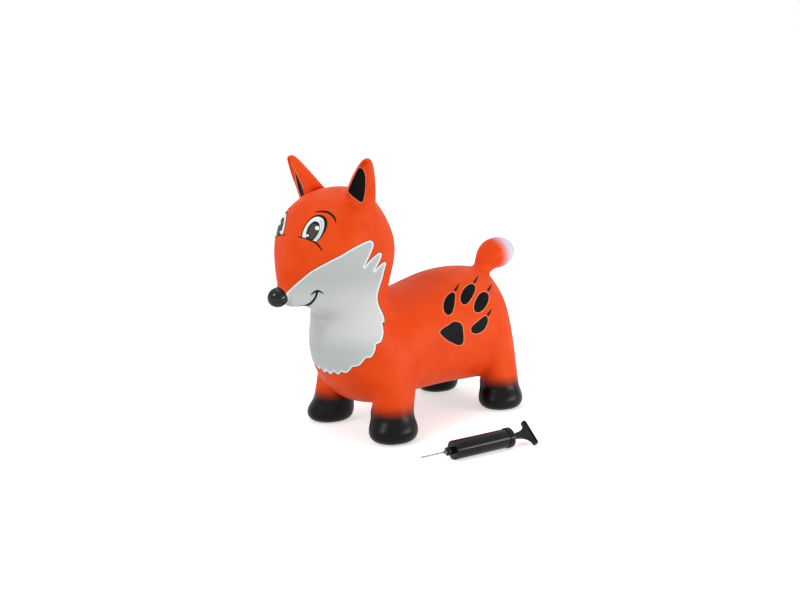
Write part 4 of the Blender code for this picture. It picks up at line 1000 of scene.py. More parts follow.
# Specular levels of the skin, the hooves and the coats that reflect otherwise
SKIN_SHEEN = 0.1
HOOF_SHEEN = 0.15
COAT_SHEENS = (("paw_print", 0.06), ("ear_panel", 0.06), ("nose", 0.3))


def painted_vinyl(settings):
    """Rotomoulded soft PVC under sprayed paint.

    Moulding in a rough mould leaves a fine orange peel that softens highlights, and the pigment
    is slightly cloudy. Masked coats have firm edges and free-hand ones fade out over some millimetres.
    """
    material, tree, shader, place = new_material("rotomoulded_pvc_sprayed", roughness=0.4)
    height = add_node(tree, "ShaderNodeSeparateXYZ", {"Vector": place}).outputs["Z"]
    black = opaque(settings.black_colour)

    def field(name):
        """Distance in millimetres that the skin's mesh carries."""
        return add_node(tree, "ShaderNodeAttribute", attribute_name=name).outputs["Fac"]

    def covered(name, reach=0.0, fade=MASKED_FADE_MM):
        """1 where a coat lies and 0 off it."""
        return ramp(tree, field(name), reach - fade, reach + fade, 1.0, 0.0)

    def painted(colour, coats):
        """Colour after coats in the order in which they go on."""
        for name, tint, reach, fade in coats:
            colour = mixed(tree, covered(name, reach, fade), colour, linear(tint) if tint else black)
        return colour

    cloud = ramp(tree, noise(tree, place, CLOUD_SIZE, detail=3.0), *CLOUD_SPREAD, 0.0, 1.0)
    colour = mixed(tree, cloud, linear("#EA4810"), opaque(settings.orange_colour))
    spray = noise(tree, place, SPECK_SIZE, detail=4.0)
    low, high = settings.hoof_paint_height, settings.hoof_paint_height + settings.spray_fade
    drift = worked_out(tree, "MULTIPLY_ADD", spray, HOOF_STRAY, height)
    hooves = ramp(tree, drift, low, high, 1.0, 0.0)
    colour = mixed(tree, hooves, colour, black)
    drift = worked_out(tree, "MULTIPLY_ADD", spray, TAIL_STRAY_MM, field("tail_tip"))
    colour = mixed(tree, ramp(tree, drift, *TAIL_FADE_MM, 1.0, 0.0), colour, linear("#DDDCE8"))
    colour = painted(colour, BIB_RIM)
    white = opaque(settings.white_colour)
    # Painted shade: the bib's white is greyed towards the muzzle and towards its hem
    shade = mixed(tree, ramp(tree, height, *MUZZLE_PAINTED_SHADE, 0.0, 1.0), white, linear("#BFC5C3"))
    shade = mixed(tree, ramp(tree, height, *HEM_PAINTED_SHADE, 1.0, 0.0), shade, linear("#C4CAC8"))
    colour = mixed(tree, covered("bib", BIB_REACH_MM, BIB_FADE_MM), colour, shade)
    tree.links.new(painted(colour, COATS), shader.inputs["Base Color"])

    gloss = ramp(tree, noise(tree, place, GLOSS_PATCH_SIZE), *NOISE_SPREAD, *SKIN_ROUGHNESS)
    gloss = mixed(tree, hooves, gloss, grey(HOOF_ROUGHNESS))
    gloss = mixed(tree, covered("nose"), gloss, grey(NOSE_ROUGHNESS))
    tree.links.new(gloss, shader.inputs["Roughness"])
    sheen = mixed(tree, hooves, grey(SKIN_SHEEN), grey(HOOF_SHEEN))
    for name, level in COAT_SHEENS:
        sheen = mixed(tree, covered(name), sheen, grey(level))
    tree.links.new(sheen, shader.inputs["Specular IOR Level"])
    bump(tree, shader, place, PEEL_SIZE, PEEL_HEIGHT, strength=0.35)
    return material


def moulded_black(settings):
    """Injection-moulded ABS, black and glossy.

    The polished mould leaves clear highlights that waver slightly, and handling leaves a faint haze.
    """
    material, tree, shader, place = new_material("moulded_abs_black", roughness=0.2)
    haze = noise(tree, place, 22.0 * MM, detail=3.0)
    colours = (opaque(settings.plastic_colour), linear("#141517"))
    mottle(tree, shader, haze, spread=(0.4, 0.75), colours=colours, roughness=(0.17, 0.23))
    shader.inputs["Specular IOR Level"].default_value = 0.2
    bump(tree, shader, place, size=12.0 * MM, height=0.03 * MM, strength=0.08)
    return material


def nickel_plate():
    """Nickel-plated steel: a warm grey metal, bright where it is clean, duller in small tarnished
    patches, with a fine grain that blurs what it reflects."""
    material, tree, shader, place = new_material(
        "nickel_plated_steel", roughness=0.24, metallic=1.0)
    tarnish = noise(tree, place, 3.0 * MM, detail=3.0)
    colours = (linear("#8F8A80"), linear("#7A756C"))
    mottle(tree, shader, tarnish, spread=NOISE_SPREAD, colours=colours, roughness=(0.18, 0.32))
    bump(tree, shader, place, size=0.5 * MM, height=0.01 * MM, strength=0.3)
    return material


def nitrile_rubber():
    """Moulded nitrile rubber: near black, matt, with a bloom that pales it in patches."""
    material, tree, shader, place = new_material("nitrile_rubber", roughness=0.7)
    bloom = noise(tree, place, 2.5 * MM, detail=4.0)
    colours = (linear("#1B1B1B"), linear("#303030"))
    mottle(tree, shader, bloom, spread=(0.35, 0.75), colours=colours, roughness=(0.62, 0.8))
    bump(tree, shader, place, size=0.6 * MM, height=0.02 * MM, strength=0.4)
    return material


def soft_white_pvc():
    """Soft white PVC, injection moulded: satin, faintly yellowed in clouds, and lit a little from within."""
    material, tree, shader, place = new_material("soft_white_pvc", roughness=0.42)
    cloud = noise(tree, place, 7.0 * MM, detail=3.0)
    colours = (linear("#ECEBE6"), linear("#E0DED4"))
    mottle(tree, shader, cloud, spread=NOISE_SPREAD, colours=colours, roughness=(0.38, 0.48))
    shader.inputs["Subsurface Weight"].default_value = 0.15
    shader.inputs["Subsurface Radius"].default_value = (1.0, 0.9, 0.75)
    shader.inputs["Subsurface Scale"].default_value = 1.0 * MM
    bump(tree, shader, place, size=1.0 * MM, height=0.02 * MM, strength=0.3)
    return material


def finish(name, make, *arguments):
    """Material of a name, made the first time it is asked for."""
    return bpy.data.materials.get(name) or make(*arguments)


def plastic_finish(context):
    """Black plastic of the pump."""
    return finish("moulded_abs_black", moulded_black, context.scene.fox_pump)


def dress(node_name, material):
    """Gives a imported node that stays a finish."""
    node = frame["nodes"][node_name]
    node.data.materials.clear()
    node.data.materials.append(material)


def show(name, mesh, material, body, slot, *replaced):
    """Puts a finished mesh in the scene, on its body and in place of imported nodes."""
    mesh.name = name
    mesh.materials.clear()
    mesh.materials.append(material)
    piece = add_object(name, mesh)
    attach(piece, body)
    if replaced:
        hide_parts(*replaced)


# Turned pieces


# Steps of a rounded edge, and how much of a profile's stretch it may take
FILLET_STEPS = 4
FILLET_SHARE = 0.45
SHARP_ANGLE = math.radians(38.0)


def axis_frame(origin, along):
    """Frame whose Z runs along an axis and whose X is level, or points left on an upright axis."""
    along = Vector(along).normalized()
    across = along.cross(Vector((0.0, 0.0, 1.0)))
    if across.length < TINY:
        across = Vector((1.0, 0.0, 0.0))
    across.normalize()
    turn = Matrix((across, along.cross(across), along)).transposed()
    return Matrix.Translation(origin) @ turn.to_4x4()


def pump_frame():
    """Frame at the needle's tip, along the pump towards the handle."""
    joint = next(joint for joint in frame["joints"] if joint["name"] == "handle_turn")
    return axis_frame(Vector(joint["pos_m"]), joint["axis"])


def span(node_name, place):
    """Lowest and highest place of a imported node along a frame's Z, and its largest radius."""
    back_to_axis = place.inverted()
    points = np.array([back_to_axis @ vertex.co for vertex in frame["nodes"][node_name].data.vertices])
    return points[:, 2].min(), points[:, 2].max(), np.hypot(points[:, 0], points[:, 1]).max()


def rounded(profile):
    """Profile whose corners are rounded. Each point is (radius, place, rounding)."""
    points = [Vector(point[:2]) for point in profile]
    count = len(points)
    line = []
    for index, point in enumerate(points):
        fillet = profile[index][2]
        before, after = points[index - 1], points[(index + 1) % count]
        if fillet <= 0.0 or not 0 < index < count - 1:
            line.append(point)
            continue
        into, out = (before - point), (after - point)
        cut = min(fillet, FILLET_SHARE * into.length, FILLET_SHARE * out.length)
        start, end = point + into.normalized() * cut, point + out.normalized() * cut
        for step in range(FILLET_STEPS + 1):
            t = step / FILLET_STEPS
            line.append(start * (1.0 - t) ** 2 + point * (2.0 * t * (1.0 - t)) + end * t ** 2)
    return line


def turned(name, profile, segments, place):
    """Turned mesh about a frame's Z axis.

    A profile that starts on the axis also ends there, and any other is closed round a bore.
    """
    line = rounded(profile)
    shape = bmesh.new()
    rows = []
    for radius, height in line:
        if radius < MERGE_DISTANCE:
            rows.append([shape.verts.new((0.0, 0.0, height))])
            continue
        turns = [math.tau * index / segments for index in range(segments)]
        rows.append([shape.verts.new((radius * math.cos(turn), radius * math.sin(turn), height))
                     for turn in turns])
    pairs = list(zip(rows, rows[1:]))
    if profile[0][0] > 0.0:
        pairs.append((rows[-1], rows[0]))
    for first, second in pairs:
        if len(first) == 1 and len(second) == 1:
            continue
        for index in range(segments):
            after = (index + 1) % segments
            if len(first) == 1:
                corners = (first[0], second[after], second[index])
            elif len(second) == 1:
                corners = (first[index], first[after], second[0])
            else:
                corners = (first[index], first[after], second[after], second[index])
            shape.faces.new(corners)
    bmesh.ops.remove_doubles(shape, verts=shape.verts, dist=MERGE_DISTANCE)
    bmesh.ops.recalc_face_normals(shape, faces=shape.faces)
    bmesh.ops.transform(shape, matrix=place, verts=shape.verts)
    return as_mesh(shape, name)


def show_turned(name, profile, segments, place, *home):
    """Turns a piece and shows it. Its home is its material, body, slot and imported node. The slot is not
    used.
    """
    show(name, turned(name, profile, segments, place), *home)


def as_mesh(shape, name):
    """Mesh from a working shape, smooth but for its sharp edges."""
    mesh = bpy.data.meshes.new(name)
    shape.to_mesh(mesh)
    shape.free()
    mesh.shade_smooth()
    mesh.set_sharp_from_angle(angle=SHARP_ANGLE)
    return mesh


def combined(name, first, steps):
    """Mesh after Booleans with other meshes, which are used up. Each step is (mesh, operation)."""
    holder = add_object(name, first)
    others = []
    for mesh, operation in steps:
        other = add_object(name + "_tool", mesh)
        change = holder.modifiers.new(operation, "BOOLEAN")
        change.operation = operation
        change.solver = "EXACT"
        change.object = other
        others.append(other)
    result = finished_mesh(holder)
    shape = bmesh.new()
    shape.from_mesh(result)
    bpy.data.meshes.remove(result)
    for other in others:
        remove_object(other)
    bmesh.ops.remove_doubles(shape, verts=shape.verts, dist=MERGE_DISTANCE)
    return as_mesh(shape, name)


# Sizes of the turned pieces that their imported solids' boxes don't give. They follow those solids, but
# the needle's thread is a ridge on a thinner core.
GAP = 0.3 * MM
VALVE_FACE_RISE = 1.9 * MM
VALVE_FLANGE = 1.6 * MM
VALVE_BARB = 3.5 * MM
VALVE_BARB_RADIUS = 7.6 * MM
VALVE_LIP = 1.4 * MM
GROMMET_TUBE_RADIUS = 5.7 * MM
GROMMET_BORE_RADIUS = 4.2 * MM
GROMMET_LIP_RADIUS = 2.6 * MM
PLUG_HEAD = 2.4 * MM
PLUG_STEM_RADIUS = 3.9 * MM
PLUG_DIMPLE = 0.5 * MM
PLUG_DIMPLE_RADIUS = 4.2 * MM
PLUG_DIMPLE_FLOOR = 3.6 * MM
SPIGOT_LENGTH = 12.1 * MM
SPIGOT_RADIUS = 5.2 * MM
SPIGOT_BORE = 2.7 * MM
BARREL_WALL = 1.6 * MM
BARREL_END = 3.5 * MM
CHECK_VALVE_RADIUS = 5.3 * MM
CHECK_VALVE_SEAT = 2.1 * MM
CAP_END = 3.5 * MM
CAP_HOLE = 4.4 * MM
CAP_GROOVE_START = 3.4 * MM
CAP_GROOVE = 0.5 * MM
COLLAR_FLANGE = 3.0 * MM
COLLAR_STEP = 0.8 * MM
COLLAR_BORE = 5.5 * MM
ROD_HOLE = 1.9 * MM
ROD_TENON = 2.9 * MM
NEEDLE_NECK = 2.6 * MM
NEEDLE_THREAD = 2.1 * MM
NEEDLE_SOCKET = 1.5 * MM
NEEDLE_BORE = 0.6 * MM
NEEDLE_FLANGE = 1.4 * MM
NEEDLE_SOLID_TIP = 2.8 * MM
NEEDLE_PORT_RADIUS = 0.5 * MM
NEEDLE_PORT_LENGTH = 3.0 * MM
NEEDLE_PORT_PLACE = 4.0 * MM
WASHER_HOLE = 2.7 * MM
# The thread's ridge: where its middle runs, its half breadth, and how far it stays from the washer
# and from the needle's end
RIDGE_RADIUS = 2.06 * MM
RIDGE = 0.3 * MM
RIDGE_START = 0.2 * MM
RIDGE_SHORTER = 0.6 * MM


# Settings that a user would change


class FoxSkinSettings(bpy.types.PropertyGroup):
    """Sizes and colours of the fox's skin."""

    surface_levels: bpy.props.IntProperty(
        name="Surface levels", description="Times that the skin's cage is subdivided",
        default=3, min=1, max=4)
    paint_edge: bpy.props.FloatProperty(
        name="Paint edge", description="Longest edge of the mesh where two coats of paint meet",
        default=1.7 * MM, unit="LENGTH")
    face_paint_edge: bpy.props.FloatProperty(
        name="Face paint edge", description="Longest edge of the mesh in the eyes and along brush lines",
        default=1.0 * MM, unit="LENGTH")
    hoof_paint_height: bpy.props.FloatProperty(
        name="Hoof paint height", description="Height below which the feet are fully black",
        default=46.0 * MM, unit="LENGTH")
    spray_fade: bpy.props.FloatProperty(
        name="Spray fade", description="Breadth over which free-hand spray fades out",
        default=30.0 * MM, unit="LENGTH")
    orange_colour: bpy.props.FloatVectorProperty(
        name="Orange", description="Colour of the vinyl", subtype="COLOR",
        default=linear("#EE5018")[:3], min=0.0, max=1.0)
    white_colour: bpy.props.FloatVectorProperty(
        name="White", description="Colour of the bib", subtype="COLOR",
        default=linear("#D8DBD9")[:3], min=0.0, max=1.0)
    black_colour: bpy.props.FloatVectorProperty(
        name="Black", description="Colour of hooves, nose, ears and prints", subtype="COLOR",
        default=linear("#0B0A0A")[:3], min=0.0, max=1.0)


class FoxPumpSettings(bpy.types.PropertyGroup):
    """Sizes and colours of the pump and of the belly valve."""

    segments: bpy.props.IntProperty(
        name="Segments", description="Sides of the large turned pieces", default=96, min=24, max=256)
    small_segments: bpy.props.IntProperty(
        name="Small segments", description="Sides of the small turned pieces", default=48, min=16, max=128)
    edge_rounding: bpy.props.FloatProperty(
        name="Edge rounding", description="Rounding of the moulded edges", default=0.5 * MM, unit="LENGTH")
    thread_pitch: bpy.props.FloatProperty(
        name="Thread pitch", description="Way between two turns of the needle's thread",
        default=0.794 * MM, unit="LENGTH")
    plastic_colour: bpy.props.FloatVectorProperty(
        name="Plastic", description="Colour of the pump's plastic", subtype="COLOR",
        default=linear("#0C0D0F")[:3], min=0.0, max=1.0)


class FoxStageSettings(bpy.types.PropertyGroup):
    """Strengths of the lamps and size of the floor."""

    floor_reach: bpy.props.FloatProperty(
        name="Floor reach", description="Half the breadth of the floor", default=6.0, unit="LENGTH")
    key_power: bpy.props.FloatProperty(
        name="Key power", description="Power of the lamp at the left", default=15.5, unit="POWER")
    side_power: bpy.props.FloatProperty(
        name="Side power", description="Power of the low lamp at the right", default=17.0, unit="POWER")
    top_power: bpy.props.FloatProperty(
        name="Top power", description="Power of the lamp above", default=11.0, unit="POWER")
    ambient: bpy.props.FloatProperty(
        name="Ambient", description="Strength of the world's light", default=0.5, min=0.0, max=2.0)


# Operators


class FOX_OT_skin(bpy.types.Operator):
    """Builds the fox's painted skin with its valve boss"""

    bl_idname = "fox.skin"
    bl_label = "Skin"

    def execute(self, context):
        """Draws the skin in the fox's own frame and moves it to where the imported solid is."""
        settings = context.scene.fox_skin
        low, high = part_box("skin")
        valve_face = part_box("valve_seat")[0].z + VALVE_FACE_RISE
        coarsening = 1.0
        mesh = fox_surface(settings.surface_levels, settings.paint_edge * coarsening,
                           settings.face_paint_edge * coarsening, valve_face)
        places = np.array([vertex.co for vertex in mesh.vertices])
        shift = Vector(((low.x + high.x) / 2.0, low.y - places[:, 1].min(), 0.0))
        mesh.transform(Matrix.Translation(shift))
        material = finish("rotomoulded_pvc_sprayed", painted_vinyl, settings)
        show("fox_skin", mesh, material, "fox", "orange_vinyl", "skin")
        return {"FINISHED"}


class FOX_OT_valve(bpy.types.Operator):
    """Builds the belly valve's grommet and stopper, and finishes its core"""

    bl_idname = "fox.valve"
    bl_label = "Belly valve"

    def execute(self, context):
        """Turns both pieces on the valve's upright axis."""
        settings = context.scene.fox_pump
        soft = finish("soft_white_pvc", soft_white_pvc)
        low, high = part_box("valve_seat")
        centre = (low + high) / 2.0
        place = axis_frame(Vector((centre.x, centre.y, low.z)), (0.0, 0.0, 1.0))
        bottom, top, flange = span("valve_seat", place)
        flange_top = bottom + VALVE_FLANGE
        barb_bottom = top - VALVE_BARB
        lip_bottom = top - VALVE_LIP
        tube, bore, lip = GROMMET_TUBE_RADIUS, GROMMET_BORE_RADIUS, GROMMET_LIP_RADIUS
        edge = settings.edge_rounding
        profile = (
            (lip, top, 0.0), (tube, top, edge), (VALVE_BARB_RADIUS, barb_bottom, edge),
            (tube, barb_bottom, 0.0), (tube, flange_top, 0.0), (flange, flange_top, 0.3 * MM),
            (flange, bottom, edge), (bore, bottom, edge), (bore, lip_bottom, 0.0), (lip, lip_bottom, 0.0),
        )
        show_turned("valve_grommet", profile, settings.small_segments, place,
                    soft, "fox", "white_vinyl", "valve_seat")

        bottom, top, head = span("valve_plug", place)
        head_top = bottom + PLUG_HEAD
        dimple = bottom + PLUG_DIMPLE
        stem = PLUG_STEM_RADIUS
        profile = (
            (0.0, top, 0.0), (stem, top, 0.9 * MM), (stem, head_top, 0.3 * MM), (head, head_top, edge),
            (head, bottom, 0.9 * MM), (PLUG_DIMPLE_RADIUS, bottom, 0.5 * MM),
            (PLUG_DIMPLE_FLOOR, dimple, 0.4 * MM), (0.0, dimple, 0.0),
        )
        show_turned("valve_stopper", profile, settings.small_segments, place,
                    soft, "plug", "white_vinyl", "valve_plug")
        dress("valve_core", finish("nitrile_rubber", nitrile_rubber))
        return {"FINISHED"}


class FOX_OT_pump_body(bpy.types.Operator):
    """Builds the pump's barrel, end cap and outlet collar, and finishes its check valve"""

    bl_idname = "fox.pump_body"
    bl_label = "Pump body"

    def execute(self, context):
        """Turns the fixed pieces of the pump on its axis."""
        settings = context.scene.fox_pump
        plastic = plastic_finish(context)
        place = pump_frame()
        edge = settings.edge_rounding
        spigot_end, rear, radius = span("pump_barrel", place)
        front = spigot_end + SPIGOT_LENGTH
        floor, seat = front + BARREL_END, front + CHECK_VALVE_SEAT
        inner = radius - BARREL_WALL
        bore, spigot, pocket = SPIGOT_BORE, SPIGOT_RADIUS, CHECK_VALVE_RADIUS
        profile = (
            (bore, spigot_end, 0.2 * MM), (spigot, spigot_end, edge), (spigot, front, 0.2 * MM),
            (radius, front, 1.7 * MM), (radius, rear, 0.3 * MM), (inner, rear, 0.2 * MM),
            (inner, floor, 0.5 * MM), (pocket, floor, 0.0), (pocket, seat, 0.0), (bore, seat, 0.0),
        )
        show_turned("pump_tube", profile, settings.segments, place,
                    plastic, "pump", "black_plastic", "pump_barrel")

        start, end, radius = span("barrel_end_cap", place)
        skirt = span("pump_barrel", place)[2] + GAP
        wall = end - CAP_END
        groove = start + CAP_GROOVE_START
        groove_end = groove + CAP_GROOVE
        sunk = radius - CAP_GROOVE
        profile = (
            (skirt, start, 0.2 * MM), (radius, start, edge), (radius, groove, 0.2 * MM),
            (sunk, groove, 0.1 * MM), (sunk, groove_end, 0.1 * MM), (radius, groove_end, 0.2 * MM),
            (radius, end, 1.3 * MM), (CAP_HOLE, end, 0.4 * MM), (CAP_HOLE, wall, 0.0), (skirt, wall, 0.0),
        )
        show_turned("tube_cap", profile, settings.segments, place,
                    plastic, "pump", "black_plastic", "barrel_end_cap")

        start, end, radius = span("nozzle_nut", place)
        flange_end = start + COLLAR_FLANGE
        body = radius - COLLAR_STEP
        profile = (
            (COLLAR_BORE, start, 0.2 * MM), (radius, start, edge), (radius, flange_end, 0.3 * MM),
            (body, flange_end, 0.2 * MM), (body, end, edge), (COLLAR_BORE, end, 0.2 * MM),
        )
        show_turned("outlet_collar", profile, settings.small_segments, place,
                    plastic, "pump", "black_plastic", "nozzle_nut")
        dress("check_valve", finish("nitrile_rubber", nitrile_rubber))
        return {"FINISHED"}


# Sizes of the handle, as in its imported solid, and how finely its outline is drawn
HANDLE_SPAN = 49.0 * MM
HANDLE_BAR = 9.0 * MM
HANDLE_THICKNESS = 8.0 * MM
HANDLE_LENGTH = 48.0 * MM
HANDLE_NECK_RADIUS = 4.8 * MM
HANDLE_NECK_LENGTH = 13.0 * MM
HANDLE_EDGE = 1.0 * MM
HANDLE_RECESS_DEPTH = 1.8 * MM
HANDLE_RIM = 2.4 * MM
HANDLE_TURN = math.radians(38.0)
HANDLE_SOCKET_RADIUS = 3.2 * MM
HANDLE_SOCKET_DEPTH = 12.3 * MM
CUT_OVERRUN = 2.0 * MM
FLARE_STEPS = 20
CORNER_STEPS = 8
EDGE_STEPS = 3


def handle_outline(inset):
    """Outline of the handle's plate, across and along, drawn in by an inset: a bar on a flared web."""
    half_span = HANDLE_SPAN / 2.0 - inset
    neck = HANDLE_NECK_RADIUS - inset
    top = HANDLE_LENGTH - inset
    bar = HANDLE_LENGTH - HANDLE_BAR + inset
    flare_start = HANDLE_NECK_LENGTH + inset
    corner = (top - bar) / 3.0
    flare_end = half_span - corner
    right = []
    for step in range(FLARE_STEPS + 1):
        angle = math.pi / 2.0 * step / FLARE_STEPS
        across = flare_end - (flare_end - neck) * math.cos(angle)
        right.append((across, flare_start + (bar - flare_start) * math.sin(angle)))
    for centre, start in ((bar + corner, -90.0), (top - corner, 0.0)):
        for step in range(CORNER_STEPS + 1):
            angle = math.radians(start + 90.0 * step / CORNER_STEPS)
            right.append((flare_end + corner * math.cos(angle), centre + corner * math.sin(angle)))
    right = [point for index, point in enumerate(right) if index == 0 or point != right[index - 1]]
    return right + [(-across, along) for across, along in reversed(right)]


def plate(name, outline, thickness, edge, shift):
    """Flat plate from an outline in the XZ plane, moved along Y, with rounded edges, as a mesh."""
    curve = bpy.data.curves.new(name, "CURVE")
    curve.dimensions = "2D"
    curve.fill_mode = "BOTH"
    curve.extrude = thickness / 2.0 - edge
    curve.bevel_depth = edge
    curve.bevel_resolution = EDGE_STEPS
    curve.offset = -edge
    spline = curve.splines.new("POLY")
    spline.points.add(len(outline) - 1)
    for point, (across, along) in zip(spline.points, outline):
        point.co = (across, along, 0.0, 1.0)
    spline.use_cyclic_u = True
    mesh = finished_mesh(add_object(name, curve))
    shape = bmesh.new()
    shape.from_mesh(mesh)
    bmesh.ops.remove_doubles(shape, verts=shape.verts, dist=MERGE_DISTANCE)
    bmesh.ops.rotate(shape, verts=shape.verts, matrix=Matrix.Rotation(math.pi / 2.0, 3, "X"))
    bmesh.ops.translate(shape, verts=shape.verts, vec=(0.0, shift, 0.0))
    bmesh.ops.recalc_face_normals(shape, faces=shape.faces)
    shape.to_mesh(mesh)
    shape.free()
    mesh.materials.clear()
    return mesh


class FOX_OT_plunger(bpy.types.Operator):
    """Builds the plunger's shaft and handle, and finishes its piston"""

    bl_idname = "fox.plunger"
    bl_label = "Plunger"

    def execute(self, context):
        """Turns the shaft and cuts the handle from a rounded plate with a neck."""
        settings = context.scene.fox_pump
        plastic = plastic_finish(context)
        place = pump_frame()
        start, end, radius = span("plunger_rod", place)
        handle_start = span("t_handle", place)[0]
        shoulder = handle_start - GAP
        screw_end = span("piston_screw", place)[1] + GAP
        profile = (
            (0.0, screw_end, 0.0), (ROD_HOLE, screw_end, 0.0), (ROD_HOLE, start, 0.0),
            (radius, start, 0.4 * MM), (radius, shoulder, 0.3 * MM), (ROD_TENON, shoulder, 0.0),
            (ROD_TENON, end, 0.3 * MM), (0.0, end, 0.0),
        )
        show_turned("plunger_shaft", profile, settings.small_segments, place,
                    plastic, "plunger", "black_plastic", "plunger_rod")

        flat = Matrix.Identity(4)
        neck_end = HANDLE_NECK_LENGTH + HANDLE_NECK_RADIUS
        neck = turned("handle_neck", (
            (0.0, neck_end, 0.0), (HANDLE_NECK_RADIUS, neck_end, HANDLE_EDGE),
            (HANDLE_NECK_RADIUS, 0.0, 0.4 * MM), (0.0, 0.0, 0.0),
        ), settings.small_segments, flat)
        socket = turned("handle_socket", (
            (0.0, HANDLE_SOCKET_DEPTH, 0.0), (HANDLE_SOCKET_RADIUS, HANDLE_SOCKET_DEPTH, 0.0),
            (HANDLE_SOCKET_RADIUS, -CUT_OVERRUN, 0.0), (0.0, -CUT_OVERRUN, 0.0),
        ), settings.small_segments, flat)
        body = plate("pull_handle", handle_outline(0.0), HANDLE_THICKNESS, HANDLE_EDGE, 0.0)
        steps = [(neck, "UNION"), (socket, "DIFFERENCE")]
        for sign in (1.0, -1.0):
            shift = sign * HANDLE_THICKNESS / 2.0
            outline = handle_outline(HANDLE_RIM)
            recess = plate("recess", outline, 2.0 * HANDLE_RECESS_DEPTH, HANDLE_EDGE / 2.0, shift)
            steps.append((recess, "DIFFERENCE"))
        mesh = combined("pull_handle", body, steps)
        foot = Matrix.Translation((0.0, 0.0, handle_start)) @ Matrix.Rotation(HANDLE_TURN, 4, "Z")
        mesh.transform(place @ foot)
        show("pull_handle", mesh, plastic, "plunger", "black_plastic", "t_handle")
        dress("piston_cup", finish("nitrile_rubber", nitrile_rubber))
        dress("piston_head", plastic)
        dress("piston_screw", finish("nickel_plated_steel", nickel_plate))
        return {"FINISHED"}


# How finely a turn of the thread's ridge is drawn, and its cross-section
TURN_STEPS = 40
RIDGE_SIDES = 6


def thread_nodes(material):
    """Tree that lays a ridge along a screw line: sizes are its inputs."""
    tree = bpy.data.node_groups.new("screw_thread", "GeometryNodeTree")
    tree.interface.new_socket("Geometry", in_out="OUTPUT", socket_type="NodeSocketGeometry")
    for name, value in (("Radius", 2.2 * MM), ("Pitch", 0.794 * MM), ("Turns", 5.0), ("Ridge", 0.3 * MM)):
        socket = tree.interface.new_socket(name, in_out="INPUT", socket_type="NodeSocketFloat")
        socket.default_value = value
    given = add_node(tree, "NodeGroupInput").outputs
    height = worked_out(tree, "MULTIPLY", given["Pitch"], given["Turns"])
    spiral = add_node(tree, "GeometryNodeCurveSpiral", {
        "Resolution": TURN_STEPS, "Rotations": given["Turns"], "Start Radius": given["Radius"],
        "End Radius": given["Radius"], "Height": height})
    ring = add_node(tree, "GeometryNodeCurvePrimitiveCircle", {
        "Resolution": RIDGE_SIDES, "Radius": given["Ridge"]})
    ridge = add_node(tree, "GeometryNodeCurveToMesh", {
        "Curve": spiral.outputs["Curve"], "Profile Curve": ring.outputs["Curve"], "Fill Caps": True})
    real = add_node(tree, "GeometryNodeRealizeInstances", {"Geometry": ridge.outputs["Mesh"]})
    finished = add_node(tree, "GeometryNodeSetMaterial", {
        "Geometry": real.outputs["Geometry"], "Material": material})
    add_node(tree, "NodeGroupOutput", {"Geometry": finished.outputs["Geometry"]})
    return tree


def thread_mesh(name, material, **sizes):
    """Plain mesh of a thread's ridge about Z."""
    holder = add_object(name, bpy.data.meshes.new(name))
    modifier = holder.modifiers.new("thread", "NODES")
    modifier.node_group = thread_nodes(material)
    for item in modifier.node_group.interface.items_tree:
        if item.item_type == "SOCKET" and item.in_out == "INPUT":
            modifier[item.identifier] = sizes[item.name.lower()]
    return finished_mesh(holder)


